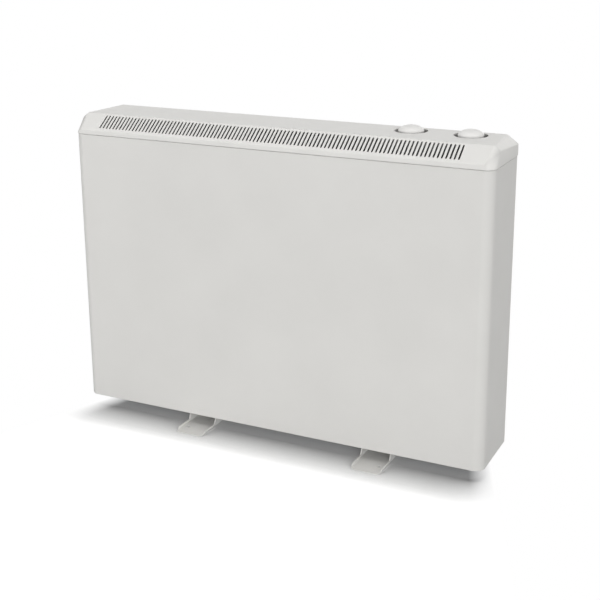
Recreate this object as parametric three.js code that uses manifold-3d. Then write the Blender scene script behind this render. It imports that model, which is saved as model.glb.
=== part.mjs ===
// Slimline night storage heater, in millimetres, +Z up, standing on the floor at z = 0.
// The front faces -Y. The origin lies under the middle of the whole object's box.

import * as THREE from 'three';
import { mergeGeometries, mergeVertices } from 'three/addons/utils/BufferGeometryUtils.js';
import { ConvexGeometry } from 'three/addons/geometries/ConvexGeometry.js';
import Module from 'manifold-3d';

// Overall sizes
const COVER_WIDTH = 1000;
const BODY_DEPTH = 170;
const FLAT_TOP = 715;
const BASE_HEIGHT = 25;
const FOOT_REACH = 55;

// Fits: the gap between pieces that rest on each other, and round a pin that turns
const SEAT = 0.3;
const PIN_CLEARANCE = 0.5;

// How far a joined part runs into its neighbour, and a cut runs past what it cuts
const LAP = 1;

// Sides of round shapes
const ROUND_SIDES = 16;
const HOLE_SIDES = 12;
const SMALL_SIDES = 8;
const HEXAGON_SIDES = 6;

// Sheet metal
const SHEET = 1;
const CASING_FLANGE = 12;
const CORNER_RADIUS = 23;
const CORNER_STEPS = 8;
const TRAY_FIT = 0.5;
const TRAY_UPSTAND = 20;
const BACK_INSET = 1;
const BACK_FLANGE = 8;
const BACK_FLANGE_MARGIN = 8;
const WALL_HOLE_RADIUS = 4.5;
const WALL_HOLE_INSET = 100;
const WALL_HOLE_DROP = 31.5;

// Top cover
const COVER_HEIGHT = 42;
const COVER_OVERHANG = 1.3;
const COVER_WALL = 2.5;
const SHADOW_GAP = 1.5;
const SKIRT_INSET = 2.2;
const SKIRT_ROOT = 4;
const LIP_HEIGHT = 10.2;
const SLOPE_RUN = 44;
const END_CHAMFER_RUN = 24;
const END_CHAMFER_DROP = 18;
const END_CHAMFER_FRONT_RUN = 13;

// Outlet grille in the slope
const SLOT_PITCH = 8.82;
const SLOT_WIDTH = 3.5;
const SLOT_BOTTOM_MARGIN = 8;
const SLOT_TOP_MARGIN = 5.3;
const GRILLE_LEFT_MARGIN = 67.2;
const GRILLE_RIGHT_MARGIN = 73.8;

// Knobs and their recesses in the flat top
const OUTPUT_INSET = 221;
const INPUT_INSET = 90;
const KNOB_BACK_INSET = 41.5;
const KNOB_RADIUS = 27.5;
const KNOB_RISE = 12.5;
const KNOB_EDGE_RISE = 1;
const KNOB_LIFT = 0.8;
const KNOB_WALL = 2.5;
const KNOB_HUB_RADIUS = 7;
const KNOB_SIDES = 28;
const KNOB_CROWN_STEPS = 6;
const FINGER_GAP = 8;
const RECESS_DEPTH = 15;

// Spindles
const SPINDLE_RADIUS = 3;
const SPINDLE_GRIP = 11;
const COLLAR_RADIUS = 5.5;
const COLLAR_HEIGHT = 3;

// Feet
const FOOT_WIDTH = 70;
const FOOT_SHEET = 2;
const FOOT_LIP = 7;
const FOOT_CORNER = 12;
const FOOT_CORNER_STEPS = 4;
const FOOT_LIP_RAMP = 4;
const FOOT_RISE_RUN = 10;
const FOOT_RISE_SETBACK = 5.5;
const FOOT_LEFT_INSET = 315;
const FOOT_RIGHT_INSET = 245;
const FOOT_TAB_LENGTH = 50;
const FOOT_TAB_REACH = 40;
const FOOT_HOLE_RADIUS = 4;
const FOOT_HOLE_INSET_X = 15;
const FOOT_HOLE_INSET_Y = 35;
const FOOT_BOLT_AHEAD = 26.75;

// Fasteners
const BOLT_RADIUS = 3;
const BOLT_HEAD_RADIUS = 5.5;
const BOLT_HEAD_HEIGHT = 4;
const SCREW_RADIUS = 2;
const SCREW_HEAD_RADIUS = 4;
const SCREW_HEAD_HEIGHT = 2.2;
const SCREW_INSET = 60;
const NUT_WALL = 2;
const NUT_HEIGHT = 5;

// Brick core: columns and rows of bricks, one brick in front of the elements and one behind
const COLUMNS = 4;
const ROWS = 3;
const CHANNEL_WIDTH = 50;
const CHANNEL_DEPTH = 8;
const CHANNEL_SPREAD = 100;
const GROOVE_DEPTH = 5.5;
const GROOVE_FLOOR = 9;
const GROOVE_MOUTH = 16;

// Spaces round the core: at its end, in front, above its lid, and for the controls
const END_SPACE = 1.4;
const AIR_SPACE = 18.5;
const ATTIC_HEIGHT = 131.2;
const CONTROL_SPACE = 141.2;

// Insulation
const BASE_INSULATION = 30;
const TOP_INSULATION = 30;
const FACE_INSULATION = 28;
const END_INSULATION = 20;
const AIR_SLOT_LENGTH = 44;
const AIR_SLOT_DEPTH = 12;

// Heating elements
const ELEMENT_RADIUS = 4.2;
const ELEMENT_SPREAD = 100;
const ELEMENT_BEND_RADIUS = 15;
const ELEMENT_TAIL = 5;
const ELEMENT_HOLE_RADIUS = 6;
const PIN_RADIUS = 1.6;
const PIN_LENGTH = 12;

// Outlet duct and damper
const DUCT_SIDE_GAP = 1.3;
const DUCT_INSET = 0.7;
const DUCT_REAR_SPACE = 11;
const DUCT_FRONT_DROP = 4;
const DUCT_SHOULDER_DROP = 13;
const DUCT_MOUTH_SETBACK = 3.5;
const DUCT_TOP_GAP = 6.5;
const ROD_RADIUS = 3;
const ROD_RISE = 28;
const BARREL_WALL = 1.5;
const FLAP_SHEET = 1;
const FLAP_END_GAP = 3;
const FLAP_TIP_GAP = 3;
const CRANK_RADIUS = 22;
const CRANK_PLATE = 3;
const CRANK_WIDTH = 8;
const CRANK_PIN_RADIUS = 3;
const PIN_LEAD = 1;
const CAM_GAP = 4;

// Cam on the output spindle: its turn, and the flap angle that the turn gives
const KNOB_TURN = 270;
const FLAP_TURN = 45;
const CAM_INNER_RADIUS = 12;
const CAM_OUTER_RADIUS = 20;
const CAM_CLEARANCE = 0.4;
const CAM_BODY = 24;
const CAM_WEB = 6;
const CAM_STEPS = 36;
const CAM_DWELL = 15;
const CAM_RETURN = 39;
const CAM_SOLVE_ROUNDS = 8;

// Control gear
const BRACKET_SHEET = 1.2;
const BRACKET_DROP = 21.5;
const BRACKET_CRANK_GAP = 7;
const BRACKET_END_GAP = 2.4;
const BRACKET_FRONT_REACH = 31;
const BRACKET_BACK_GAP = 3.5;
const BRACKET_FOOT = 14;
const BULKHEAD_FLANGE = 14;
const THERMOSTAT_WIDTH = 48;
const THERMOSTAT_DEPTH = 44;
const THERMOSTAT_HEIGHT = 42;
const BUSH_RADIUS = 5;
const BUSH_HEIGHT = 8;
const SPINDLE_BORE_DEPTH = 16;
const PHIAL_RADIUS = 3.5;
const PHIAL_LENGTH = 34;
const PHIAL_INSET = 6.9;
const PHIAL_RISE = 9;
const CAPILLARY_RADIUS = 1;
const CUTOUT_RADIUS = 12;
const CUTOUT_BODY = 10;
const CUTOUT_OFFSET = 11;
const CUTOUT_DROP = 22;
const TAB_WIDTH = 6.3;
const TAB_SHEET = 0.8;
const LIVE_TAB_LENGTH = 8;
const TERMINAL_BLOCK_DEPTH = 36;
const TERMINAL_BLOCK_HEIGHT = 22;
const TERMINAL_BLOCK_DROP = 9.4;
const TERMINAL_MARGIN = 14;
const TERMINAL_DEPTH = 12;
const WIRE_RADIUS = 2;
const WIRE_SIDES = 6;
const WIRE_BEND_RADIUS = 10;
const BEND_STEPS = 3;
const WIRE_RUN = 11.2;
const LEAD_BEND_RADIUS = 2.6;
const LEAD_SPREAD = 11;
const LEAD_PITCH = 14;
const BOOT_RADIUS = 4;
const BOOT_LENGTH = 12;
const GLAND_INSET = 60;
const GLAND_BACK_INSET = 52.5;
const GLAND_BORE = 5;
const GLAND_NECK_RADIUS = 9;
const GLAND_FLANGE_RADIUS = 12;
const GLAND_FLANGE_HEIGHT = 3.5;
const GLAND_NECK_HEIGHT = 8;

// Places worked out from the sizes: the outside
const END_X = COVER_WIDTH / 2;
const BACK_Y = (BODY_DEPTH + FOOT_REACH) / 2;
const FRONT_Y = BACK_Y - BODY_DEPTH;
const FOOT_FRONT_Y = FRONT_Y - FOOT_REACH;
const COVER_BOTTOM = FLAT_TOP - COVER_HEIGHT;
const LIP_TOP = COVER_BOTTOM + LIP_HEIGHT;
const SLOPE_ANGLE = Math.atan2(COVER_HEIGHT - LIP_HEIGHT, SLOPE_RUN);
const CHAMFER_ANGLE = Math.atan2(END_CHAMFER_DROP, END_CHAMFER_RUN);

const CASING_HALF = END_X - COVER_OVERHANG;
const CASING_FRONT = FRONT_Y + COVER_OVERHANG;
const CASING_BACK = BACK_Y - SHEET - SEAT;
const CASING_TOP = COVER_BOTTOM - SHADOW_GAP;
const CASING_OPENING = SHEET + CASING_FLANGE;
const BACK_FLANGE_X = CASING_HALF - CASING_OPENING - SEAT;
const SCREW_X = END_X - SCREW_INSET;
const SCREW_Y = CASING_FRONT + SHEET + CASING_FLANGE / 2;

const OUTPUT_X = END_X - OUTPUT_INSET;
const INPUT_X = END_X - INPUT_INSET;
const KNOB_Y = BACK_Y - KNOB_BACK_INSET;
const RECESS_RADIUS = KNOB_RADIUS + FINGER_GAP;
const RECESS_FLOOR = FLAT_TOP - RECESS_DEPTH;
const KNOB_BASE = RECESS_FLOOR + KNOB_LIFT;

// Grille: as many slots as fit between the margins
const GRILLE_CENTRE_X = (GRILLE_LEFT_MARGIN - GRILLE_RIGHT_MARGIN) / 2;
const GRILLE_LENGTH = COVER_WIDTH - GRILLE_LEFT_MARGIN - GRILLE_RIGHT_MARGIN;
const SLOT_COUNT = Math.round((GRILLE_LENGTH - SLOT_WIDTH) / SLOT_PITCH) + 1;
const SLOPE_LENGTH = Math.hypot(COVER_HEIGHT - LIP_HEIGHT, SLOPE_RUN);

// Tray, core and lid: the bricks fill the space that the casing leaves
const TRAY_Z = BASE_HEIGHT + SHEET + SEAT;
const TRAY_FLOOR = TRAY_Z + SHEET;
const TRAY_TOP = TRAY_FLOOR + TRAY_UPSTAND;
const FLOOR_SEAT = TRAY_FLOOR + SEAT;
const TRAY_INSIDE_BACK = CASING_BACK - 2 * SHEET - TRAY_FIT;

const INSULATION_FRONT = CASING_FRONT + AIR_SPACE;
const INSULATION_BACK = CASING_BACK;
const CORE_Y0 = (INSULATION_FRONT + INSULATION_BACK) / 2;
const CORE_DEPTH = INSULATION_BACK - INSULATION_FRONT - 2 * (FACE_INSULATION + SEAT);
const BRICK_DEPTH = (CORE_DEPTH - SEAT) / 2;

const BULKHEAD_X = END_X - CONTROL_SPACE;
const BULKHEAD_FACE = BULKHEAD_X + SHEET;
const BULKHEAD_BACK = BACK_Y - SKIRT_INSET - COVER_WALL - SEAT;
const CORE_BOX_LEFT = END_SPACE + SHEET - BACK_FLANGE_X;
const CORE_BOX_RIGHT = BULKHEAD_X - SEAT;
const CORE_LEFT = CORE_BOX_LEFT + END_INSULATION + SEAT;
const CORE_RIGHT = CORE_BOX_RIGHT - END_INSULATION - SEAT;
const BRICK_LENGTH = (CORE_RIGHT - CORE_LEFT - (COLUMNS - 1) * SEAT) / COLUMNS;

const LID_TOP = FLAT_TOP - ATTIC_HEIGHT;
const LID_BOTTOM = LID_TOP - TOP_INSULATION;
const LID_SEAT = LID_TOP + SEAT;
const CORE_TOP = LID_BOTTOM - SEAT;
const CORE_BOTTOM = FLOOR_SEAT + BASE_INSULATION + SEAT;
const BRICK_HEIGHT = (CORE_TOP - CORE_BOTTOM - (ROWS - 1) * SEAT) / ROWS;
const PANEL_Y = INSULATION_FRONT - SEAT - SHEET;

// Feet and their bolts, which stand clear of the air slots
const FOOT_LEFT_X = FOOT_LEFT_INSET - END_X;
const FOOT_RIGHT_X = END_X - FOOT_RIGHT_INSET;
const FOOT_BOLT_Y = CORE_Y0 - FOOT_BOLT_AHEAD;
const FOOT_BOLT_OFFSET = FOOT_WIDTH / 2 - FOOT_TAB_REACH / 2;
const BOLT_PLACES = [FOOT_LEFT_X - FOOT_BOLT_OFFSET, FOOT_RIGHT_X + FOOT_BOLT_OFFSET];

// Damper, duct and bracket
const ROD_Y = KNOB_Y - CRANK_RADIUS + PIN_LEAD;
const ROD_Z = LID_TOP + ROD_RISE;
const CRANK_X = OUTPUT_X - CAM_OUTER_RADIUS - CAM_GAP - CRANK_PLATE;
const CRANK_PIN_REACH = OUTPUT_X - CAM_INNER_RADIUS - CRANK_X;
const CAM_MEAN_RADIUS = (CAM_INNER_RADIUS + CAM_OUTER_RADIUS) / 2;
const CAM_ZERO = ROD_Z + CRANK_PIN_RADIUS + CAM_CLEARANCE;
const CAM_TOP = CAM_ZERO + CAM_BODY;
const BRACKET_LEFT = CRANK_X - BRACKET_CRANK_GAP;
const BRACKET_RIGHT = BACK_FLANGE_X - SHEET - BRACKET_END_GAP;
const BRACKET_FRONT = KNOB_Y - BRACKET_FRONT_REACH;
const BRACKET_BACK = BULKHEAD_BACK - BRACKET_BACK_GAP;
const BRACKET_Z = RECESS_FLOOR - COVER_WALL - BRACKET_DROP;
const DUCT_RIGHT = BRACKET_LEFT - SHEET - BRACKET_FOOT / 2;
const DUCT_FRONT = INSULATION_FRONT + DUCT_INSET;
const DUCT_REAR = ROD_Y + DUCT_REAR_SPACE;
const DUCT_FRONT_TOP = COVER_BOTTOM - DUCT_FRONT_DROP;
const DUCT_SHOULDER = COVER_BOTTOM - DUCT_SHOULDER_DROP;
const DUCT_MOUTH_Y = FRONT_Y + SLOPE_RUN + DUCT_MOUTH_SETBACK;
const DUCT_MOUTH_Z = FLAT_TOP - COVER_WALL - DUCT_TOP_GAP;

// Control gear and its wires
const CUTOUT_Y = KNOB_Y - CUTOUT_OFFSET;
const CUTOUT_Z = BRACKET_Z - CUTOUT_DROP;
const LIVE_TAB_Z = CUTOUT_Z - CUTOUT_RADIUS / 2;
const PHIAL_Y = CORE_Y0 + CORE_DEPTH / 2 - PHIAL_INSET;
const PHIAL_Z = CORE_TOP - BRICK_HEIGHT / 2 + PHIAL_RISE;
const WIRE_X = BULKHEAD_FACE + ELEMENT_TAIL + PIN_LENGTH + WIRE_RUN;
const NEUTRAL_Y = CORE_Y0 - LEAD_SPREAD;
const LIVE_Y = CORE_Y0 + LEAD_SPREAD;
const MAINS_Y = LIVE_Y + LEAD_PITCH;
const LOWEST_PIN_Z = CORE_BOTTOM + (BRICK_HEIGHT - ELEMENT_SPREAD) / 2;
const TERMINAL_BLOCK_TOP = LOWEST_PIN_Z - BOOT_RADIUS - TERMINAL_BLOCK_DROP;
const WIRE_FOOT = TERMINAL_BLOCK_TOP - TERMINAL_DEPTH + SEAT;
const GLAND_X = END_X - GLAND_INSET;
const GLAND_Y = BACK_Y - GLAND_BACK_INSET;

// Finishes
const FINISHES = {
  paint: { color: 0xdad9d6, roughness: 0.45, metalness: 0 },
  moulding: { color: 0xe9e8e6, roughness: 0.4, metalness: 0 },
  galvanised: { color: 0xa9adb0, roughness: 0.5, metalness: 0.8 },
  zinc: { color: 0xb9bcbd, roughness: 0.35, metalness: 0.9 },
  brick: { color: 0x4b3f3a, roughness: 0.95, metalness: 0 },
  insulation: { color: 0xcfc6b4, roughness: 1, metalness: 0 },
  sheath: { color: 0x5c5f60, roughness: 0.5, metalness: 0.8 },
  brass: { color: 0xb08d4a, roughness: 0.4, metalness: 0.9 },
  phenolic: { color: 0x2b2724, roughness: 0.6, metalness: 0 },
  nylon: { color: 0xd8d5cc, roughness: 0.55, metalness: 0 },
  rubber: { color: 0x1d1d1e, roughness: 0.8, metalness: 0 },
  brownWire: { color: 0x7a4a2c, roughness: 0.6, metalness: 0 },
  blueWire: { color: 0x2c4f86, roughness: 0.6, metalness: 0 },
};

const wasm = await Module();
wasm.setup();

const AXIS_X = new THREE.Vector3(1, 0, 0);
const AXIS_Y = new THREE.Vector3(0, 1, 0);
const AXIS_Z = new THREE.Vector3(0, 0, 1);
const MERGE_TOLERANCE = 1e-4;

// ---- Solids -------------------------------------------------------------------------------

/** Turns a closed geometry into a solid, without the flat triangles at a lathe's poles. */
function solid(geometry) {
  const bare = geometry.clone();
  bare.deleteAttribute('normal');
  bare.deleteAttribute('uv');
  const merged = mergeVertices(bare, MERGE_TOLERANCE);
  const index = merged.index.array;
  const triangles = [];
  for (let i = 0; i < index.length; i += 3) {
    const [a, b, c] = [index[i], index[i + 1], index[i + 2]];
    if (a !== b && b !== c && c !== a) triangles.push(a, b, c);
  }
  return new wasm.Manifold(new wasm.Mesh({
    numProp: 3,
    vertProperties: Float32Array.from(merged.attributes.position.array),
    triVerts: Uint32Array.from(triangles),
  }));
}

/** Turns a solid back into a geometry. */
function geometryOf(body) {
  const mesh = body.getMesh();
  const geometry = new THREE.BufferGeometry();
  geometry.setAttribute('position', new THREE.BufferAttribute(mesh.vertProperties, 3));
  geometry.setIndex(new THREE.BufferAttribute(mesh.triVerts, 1));
  geometry.computeVertexNormals();
  return geometry;
}

/** Joins any number of solids. */
function join(...bodies) {
  return bodies.reduce((whole, body) => whole.add(body));
}

/** Cuts any number of tools out of a solid. */
function cut(body, ...tools) {
  return tools.reduce((rest, tool) => rest.subtract(tool), body);
}

/** A block between two corners. */
function blockGeometry([x0, y0, z0], [x1, y1, z1]) {
  const geometry = new THREE.BoxGeometry(x1 - x0, y1 - y0, z1 - z0);
  return geometry.translate((x0 + x1) / 2, (y0 + y1) / 2, (z0 + z1) / 2);
}

const block = (low, high) => solid(blockGeometry(low, high));

/** A cylinder that starts at a point and runs along an axis. */
function rod(start, axis, length, radius, sides = ROUND_SIDES) {
  const geometry = new THREE.CylinderGeometry(radius, radius, length, sides);
  geometry.applyQuaternion(new THREE.Quaternion().setFromUnitVectors(AXIS_Y, axis));
  const middle = new THREE.Vector3(...start).addScaledVector(axis, length / 2);
  return solid(geometry.translate(middle.x, middle.y, middle.z));
}

/** A body turned about Z from [radius, height] points. */
function turned(profile, sides = ROUND_SIDES) {
  const points = profile.map(([radius, height]) => new THREE.Vector2(radius, height));
  return new THREE.LatheGeometry(points, sides).rotateX(Math.PI / 2);
}

/** A flat outline in X and Y, raised from z0 to z1. */
function slab(outline, z0, z1) {
  const shape = new THREE.Shape(outline.map(([x, y]) => new THREE.Vector2(x, y)));
  const geometry = new THREE.ExtrudeGeometry(shape, { depth: z1 - z0, bevelEnabled: false });
  return solid(geometry.translate(0, 0, z0));
}

/** An outline in Y and Z, drawn out from x0 to x1. */
function beam(outline, x0, x1) {
  const shape = new THREE.Shape(outline.map(([y, z]) => new THREE.Vector2(y, z)));
  const geometry = new THREE.ExtrudeGeometry(shape, { depth: x1 - x0, bevelEnabled: false });
  geometry.applyMatrix4(new THREE.Matrix4().makeBasis(AXIS_Y, AXIS_Z, AXIS_X));
  return solid(geometry.translate(x0, 0, 0));
}

/** An outline in X and Z, drawn out from y0 to y1. */
function bent(outline, y0, y1) {
  const shape = new THREE.Shape(outline.map(([x, z]) => new THREE.Vector2(x, z)));
  const geometry = new THREE.ExtrudeGeometry(shape, { depth: y1 - y0, bevelEnabled: false });
  geometry.applyMatrix4(new THREE.Matrix4().makeBasis(AXIS_X, AXIS_Z, AXIS_Y.clone().negate()));
  return solid(geometry.translate(0, y1, 0));
}

/** A route whose own points are the sections of the tube that follows it. */
class Route extends THREE.Curve {
  constructor(points) {
    super();
    this.points = points;
  }

  getPoint(t, target = new THREE.Vector3()) {
    const place = t * (this.points.length - 1);
    const step = Math.min(Math.floor(place), this.points.length - 2);
    return target.lerpVectors(this.points[step], this.points[step + 1], place - step);
  }

  getUtoTmapping(u) {
    return u;
  }
}

/** The points of a broken line with its corners rounded to one radius. */
function rounded(corners, radius, steps = BEND_STEPS) {
  const points = corners.map((corner) => new THREE.Vector3(...corner));
  const route = [points[0]];
  for (let i = 1; i < points.length - 1; i += 1) {
    const back = points[i - 1].clone().sub(points[i]).normalize();
    const ahead = points[i + 1].clone().sub(points[i]).normalize();
    const half = back.angleTo(ahead) / 2;
    const centre = points[i].clone()
      .addScaledVector(back.clone().add(ahead).normalize(), radius / Math.sin(half));
    const from = points[i].clone().addScaledVector(back, radius / Math.tan(half)).sub(centre);
    const to = points[i].clone().addScaledVector(ahead, radius / Math.tan(half)).sub(centre);
    const sweep = new THREE.Quaternion().setFromUnitVectors(
      from.clone().normalize(), to.clone().normalize());
    for (let step = 0; step <= steps; step += 1) {
      const turn = new THREE.Quaternion().slerp(sweep, step / steps);
      route.push(from.clone().applyQuaternion(turn).add(centre));
    }
  }
  route.push(points[points.length - 1]);
  return route;
}

/** A round tube along a route. */
function tube(points, radius, sides = WIRE_SIDES) {
  const ring = [];
  for (let i = 0; i < sides; i += 1) {
    const angle = (2 * Math.PI * i) / sides;
    ring.push(new THREE.Vector2(radius * Math.cos(angle), radius * Math.sin(angle)));
  }
  return solid(new THREE.ExtrudeGeometry(new THREE.Shape(ring), {
    steps: points.length - 1,
    extrudePath: new Route(points),
    bevelEnabled: false,
  }));
}

// ---- Casing -------------------------------------------------------------------------------

/** The casing's plan, drawn in by an inset: square at the back, rounded at the front corners. */
function casingPlan(inset, half = CASING_HALF, front = CASING_FRONT, back = CASING_BACK) {
  const radius = CORNER_RADIUS - inset;
  const side = half - inset;
  const y0 = front + inset;
  const y1 = back - inset;
  const plan = [[side, y1], [-side, y1]];
  for (let i = 0; i <= CORNER_STEPS; i += 1) {
    const angle = Math.PI + (Math.PI / 2) * (i / CORNER_STEPS);
    plan.push([-side + radius + radius * Math.cos(angle), y0 + radius + radius * Math.sin(angle)]);
  }
  for (let i = 0; i <= CORNER_STEPS; i += 1) {
    const angle = 1.5 * Math.PI + (Math.PI / 2) * (i / CORNER_STEPS);
    plan.push([side - radius + radius * Math.cos(angle), y0 + radius + radius * Math.sin(angle)]);
  }
  return plan;
}

/** Front and sides in one sheet, with edges turned in at the top, the bottom and the back. */
function frontCasing() {
  const height = CASING_TOP - BASE_HEIGHT;
  const skin = slab(casingPlan(0), 0, height);
  const inside = slab(casingPlan(SHEET), SHEET, height - SHEET);
  const mouth = slab(casingPlan(CASING_OPENING), -LAP, height + LAP);
  const side = CASING_HALF - CASING_OPENING;
  const back = block(
    [-side, CASING_BACK - 2 * CASING_OPENING, -LAP],
    [side, CASING_BACK + LAP, height + LAP]);
  return cut(skin, inside, mouth, back, ...screwHoles());
}

/** Holes for the two casing screws, upwards from just below z = 0. */
function screwHoles() {
  return [-SCREW_X, SCREW_X].map((x) =>
    rod([x, SCREW_Y, -LAP], AXIS_Z, 2 * NUT_HEIGHT, SCREW_RADIUS + SEAT));
}

/** Flat back with short flanges turned in beside the casing's own, and two wall holes. */
function backPanel() {
  const side = CASING_HALF - BACK_INSET;
  const height = CASING_TOP - BASE_HEIGHT;
  const sheet = block([-side, -SHEET, 0], [side, 0, height]);
  const flanges = [-BACK_FLANGE_X, BACK_FLANGE_X - SHEET].map((x) => block(
    [x, -SHEET - BACK_FLANGE, TRAY_TOP - BASE_HEIGHT + BACK_FLANGE_MARGIN],
    [x + SHEET, -SHEET / 2, height - BACK_FLANGE_MARGIN]));
  const holes = [WALL_HOLE_INSET - END_X, END_X - WALL_HOLE_INSET].map((x) => rod(
    [x, -SHEET - LAP, height - WALL_HOLE_DROP], AXIS_Y, SHEET + 2 * LAP, WALL_HOLE_RADIUS));
  return cut(join(sheet, ...flanges), ...holes);
}

/** Where the air channels of the core stand, from left to right. */
function channelPlaces() {
  const places = [];
  for (let column = 0; column < COLUMNS; column += 1) {
    const middle = CORE_LEFT + column * (BRICK_LENGTH + SEAT) + BRICK_LENGTH / 2;
    places.push(middle - CHANNEL_SPREAD / 2, middle + CHANNEL_SPREAD / 2);
  }
  return places;
}

/** Slots over the given air channels, cut through everything between two heights. */
function airSlots(places, z0, z1) {
  return places.map((x) => block(
    [x - AIR_SLOT_LENGTH / 2, CORE_Y0 - AIR_SLOT_DEPTH / 2, z0],
    [x + AIR_SLOT_LENGTH / 2, CORE_Y0 + AIR_SLOT_DEPTH / 2, z1]));
}

/** Shallow tray that carries the core, with welded nuts, air inlets and the cable hole. */
function baseTray() {
  const inset = SHEET + TRAY_FIT;
  const outside = slab(casingPlan(inset), 0, SHEET + TRAY_UPSTAND);
  const inside = slab(casingPlan(inset + SHEET), SHEET, SHEET + TRAY_UPSTAND + LAP);
  const nuts = BOLT_PLACES.map((x) => rod([x, FOOT_BOLT_Y, SHEET / 2], AXIS_Z,
    NUT_HEIGHT, BOLT_RADIUS + SEAT + NUT_WALL, HEXAGON_SIDES));
  const screwNuts = [-SCREW_X, SCREW_X].map((x) => rod([x, SCREW_Y, SHEET / 2], AXIS_Z,
    NUT_HEIGHT, SCREW_RADIUS + SEAT + NUT_WALL / 2, HEXAGON_SIDES));
  const boltHoles = BOLT_PLACES.map((x) => rod(
    [x, FOOT_BOLT_Y, -LAP], AXIS_Z, 2 * NUT_HEIGHT, BOLT_RADIUS + SEAT));
  const cableHole = rod(
    [GLAND_X, GLAND_Y, -LAP], AXIS_Z, SHEET + 2 * LAP, GLAND_NECK_RADIUS + SEAT);
  return cut(
    join(cut(outside, inside), ...nuts, ...screwNuts),
    ...boltHoles,
    ...screwHoles(),
    ...airSlots(channelPlaces(), -LAP, SHEET + LAP),
    cableHole);
}

/** Inner sheet that holds the front insulation to the core, with a foot along its bottom edge. */
function innerFrontPanel() {
  const height = LID_TOP - FLOOR_SEAT;
  return beam([
    [-CASING_FLANGE / 2, 0],
    [SHEET, 0],
    [SHEET, height],
    [0, height],
    [0, SHEET],
    [-CASING_FLANGE / 2, SHEET],
  ], CORE_BOX_LEFT, CORE_BOX_RIGHT);
}

// ---- Top cover ----------------------------------------------------------------------------

/** The cover's outer or inner form: hull of its rounded rim, its lip, its slope and its top. */
function coverForm(inset, bottom) {
  const slopeShift = inset * (1 / Math.cos(SLOPE_ANGLE) - Math.tan(SLOPE_ANGLE));
  const chamferShift = inset * (1 / Math.cos(CHAMFER_ANGLE) - Math.tan(CHAMFER_ANGLE));
  const half = COVER_WIDTH / 2 - inset;
  const front = FRONT_Y + inset;
  const back = BACK_Y - inset;
  const top = FLAT_TOP - inset;
  const lipTop = LIP_TOP - slopeShift;
  const topFront = front + (top - lipTop) / Math.tan(SLOPE_ANGLE);
  const points = casingPlan(inset, COVER_WIDTH / 2, FRONT_Y, BACK_Y)
    .map(([x, y]) => new THREE.Vector3(x, y, bottom));
  for (const way of [-1, 1]) {
    points.push(new THREE.Vector3(way * (half - (CORNER_RADIUS - inset)), front, lipTop));
    for (const [y, run] of [[topFront, END_CHAMFER_FRONT_RUN], [back, END_CHAMFER_RUN]]) {
      const sideTop = FLAT_TOP - run * Math.tan(CHAMFER_ANGLE) - chamferShift;
      const topHalf = half - (top - sideTop) / Math.tan(CHAMFER_ANGLE);
      points.push(
        new THREE.Vector3(way * half, y, sideTop),
        new THREE.Vector3(way * topHalf, y, top));
    }
  }
  return solid(new ConvexGeometry(points));
}

/** The rim under the cover that stands on the casing and leaves the dark line outside it. */
function coverSkirt() {
  const z0 = CASING_TOP + SEAT;
  const z1 = COVER_BOTTOM + SKIRT_ROOT;
  const plan = (inset) => casingPlan(inset, COVER_WIDTH / 2, FRONT_Y, BACK_Y);
  return cut(
    slab(plan(SKIRT_INSET), z0, z1),
    slab(plan(SKIRT_INSET + COVER_WALL), z0 - LAP, z1 + LAP));
}

/** All slots of the grille as one tool, square to the slope. */
function grilleSlots() {
  const slots = [];
  for (let i = 0; i < SLOT_COUNT; i += 1) {
    const x = GRILLE_CENTRE_X + (i - (SLOT_COUNT - 1) / 2) * SLOT_PITCH;
    slots.push(blockGeometry(
      [x - SLOT_WIDTH / 2, SLOT_BOTTOM_MARGIN, -COVER_WALL - LAP],
      [x + SLOT_WIDTH / 2, SLOPE_LENGTH - SLOT_TOP_MARGIN, LAP]));
  }
  const all = mergeGeometries(slots).rotateX(SLOPE_ANGLE);
  return solid(all.translate(0, FRONT_Y, LIP_TOP));
}

/** The cup that holds one knob, hung from the flat top. */
function recessCup(x) {
  const depth = RECESS_DEPTH + COVER_WALL;
  return rod([x, KNOB_Y, FLAT_TOP - depth], AXIS_Z, depth - COVER_WALL / 2,
    RECESS_RADIUS + COVER_WALL, KNOB_SIDES);
}

/** What is cut away inside one cup: the recess, and the hole for the spindle. */
function recessCut(x) {
  return join(
    rod([x, KNOB_Y, RECESS_FLOOR], AXIS_Z, RECESS_DEPTH + LAP, RECESS_RADIUS, KNOB_SIDES),
    rod([x, KNOB_Y, RECESS_FLOOR - COVER_WALL - LAP], AXIS_Z, COVER_WALL + 2 * LAP,
      SPINDLE_RADIUS + 2 * PIN_CLEARANCE));
}

/** Moulded top cover: shell, skirt, grille and the two knob recesses. */
function topCover() {
  const shell = cut(
    coverForm(0, COVER_BOTTOM),
    coverForm(COVER_WALL, COVER_BOTTOM - COVER_WALL));
  const body = join(shell, coverSkirt(), recessCup(OUTPUT_X), recessCup(INPUT_X));
  return cut(body, grilleSlots(), recessCut(OUTPUT_X), recessCut(INPUT_X));
}

// ---- Feet and fasteners -------------------------------------------------------------------

/** The foot's floor plate, with its front corners rounded. */
function footPlan() {
  const half = FOOT_WIDTH / 2;
  const plan = [[half, BACK_Y], [-half, BACK_Y]];
  for (const [way, start] of [[-1, Math.PI], [1, 1.5 * Math.PI]]) {
    for (let i = 0; i <= FOOT_CORNER_STEPS; i += 1) {
      const angle = start + (Math.PI / 2) * (i / FOOT_CORNER_STEPS);
      plan.push([
        way * (half - FOOT_CORNER) + FOOT_CORNER * Math.cos(angle),
        FOOT_FRONT_Y + FOOT_CORNER + FOOT_CORNER * Math.sin(angle)]);
    }
  }
  return plan;
}

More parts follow.
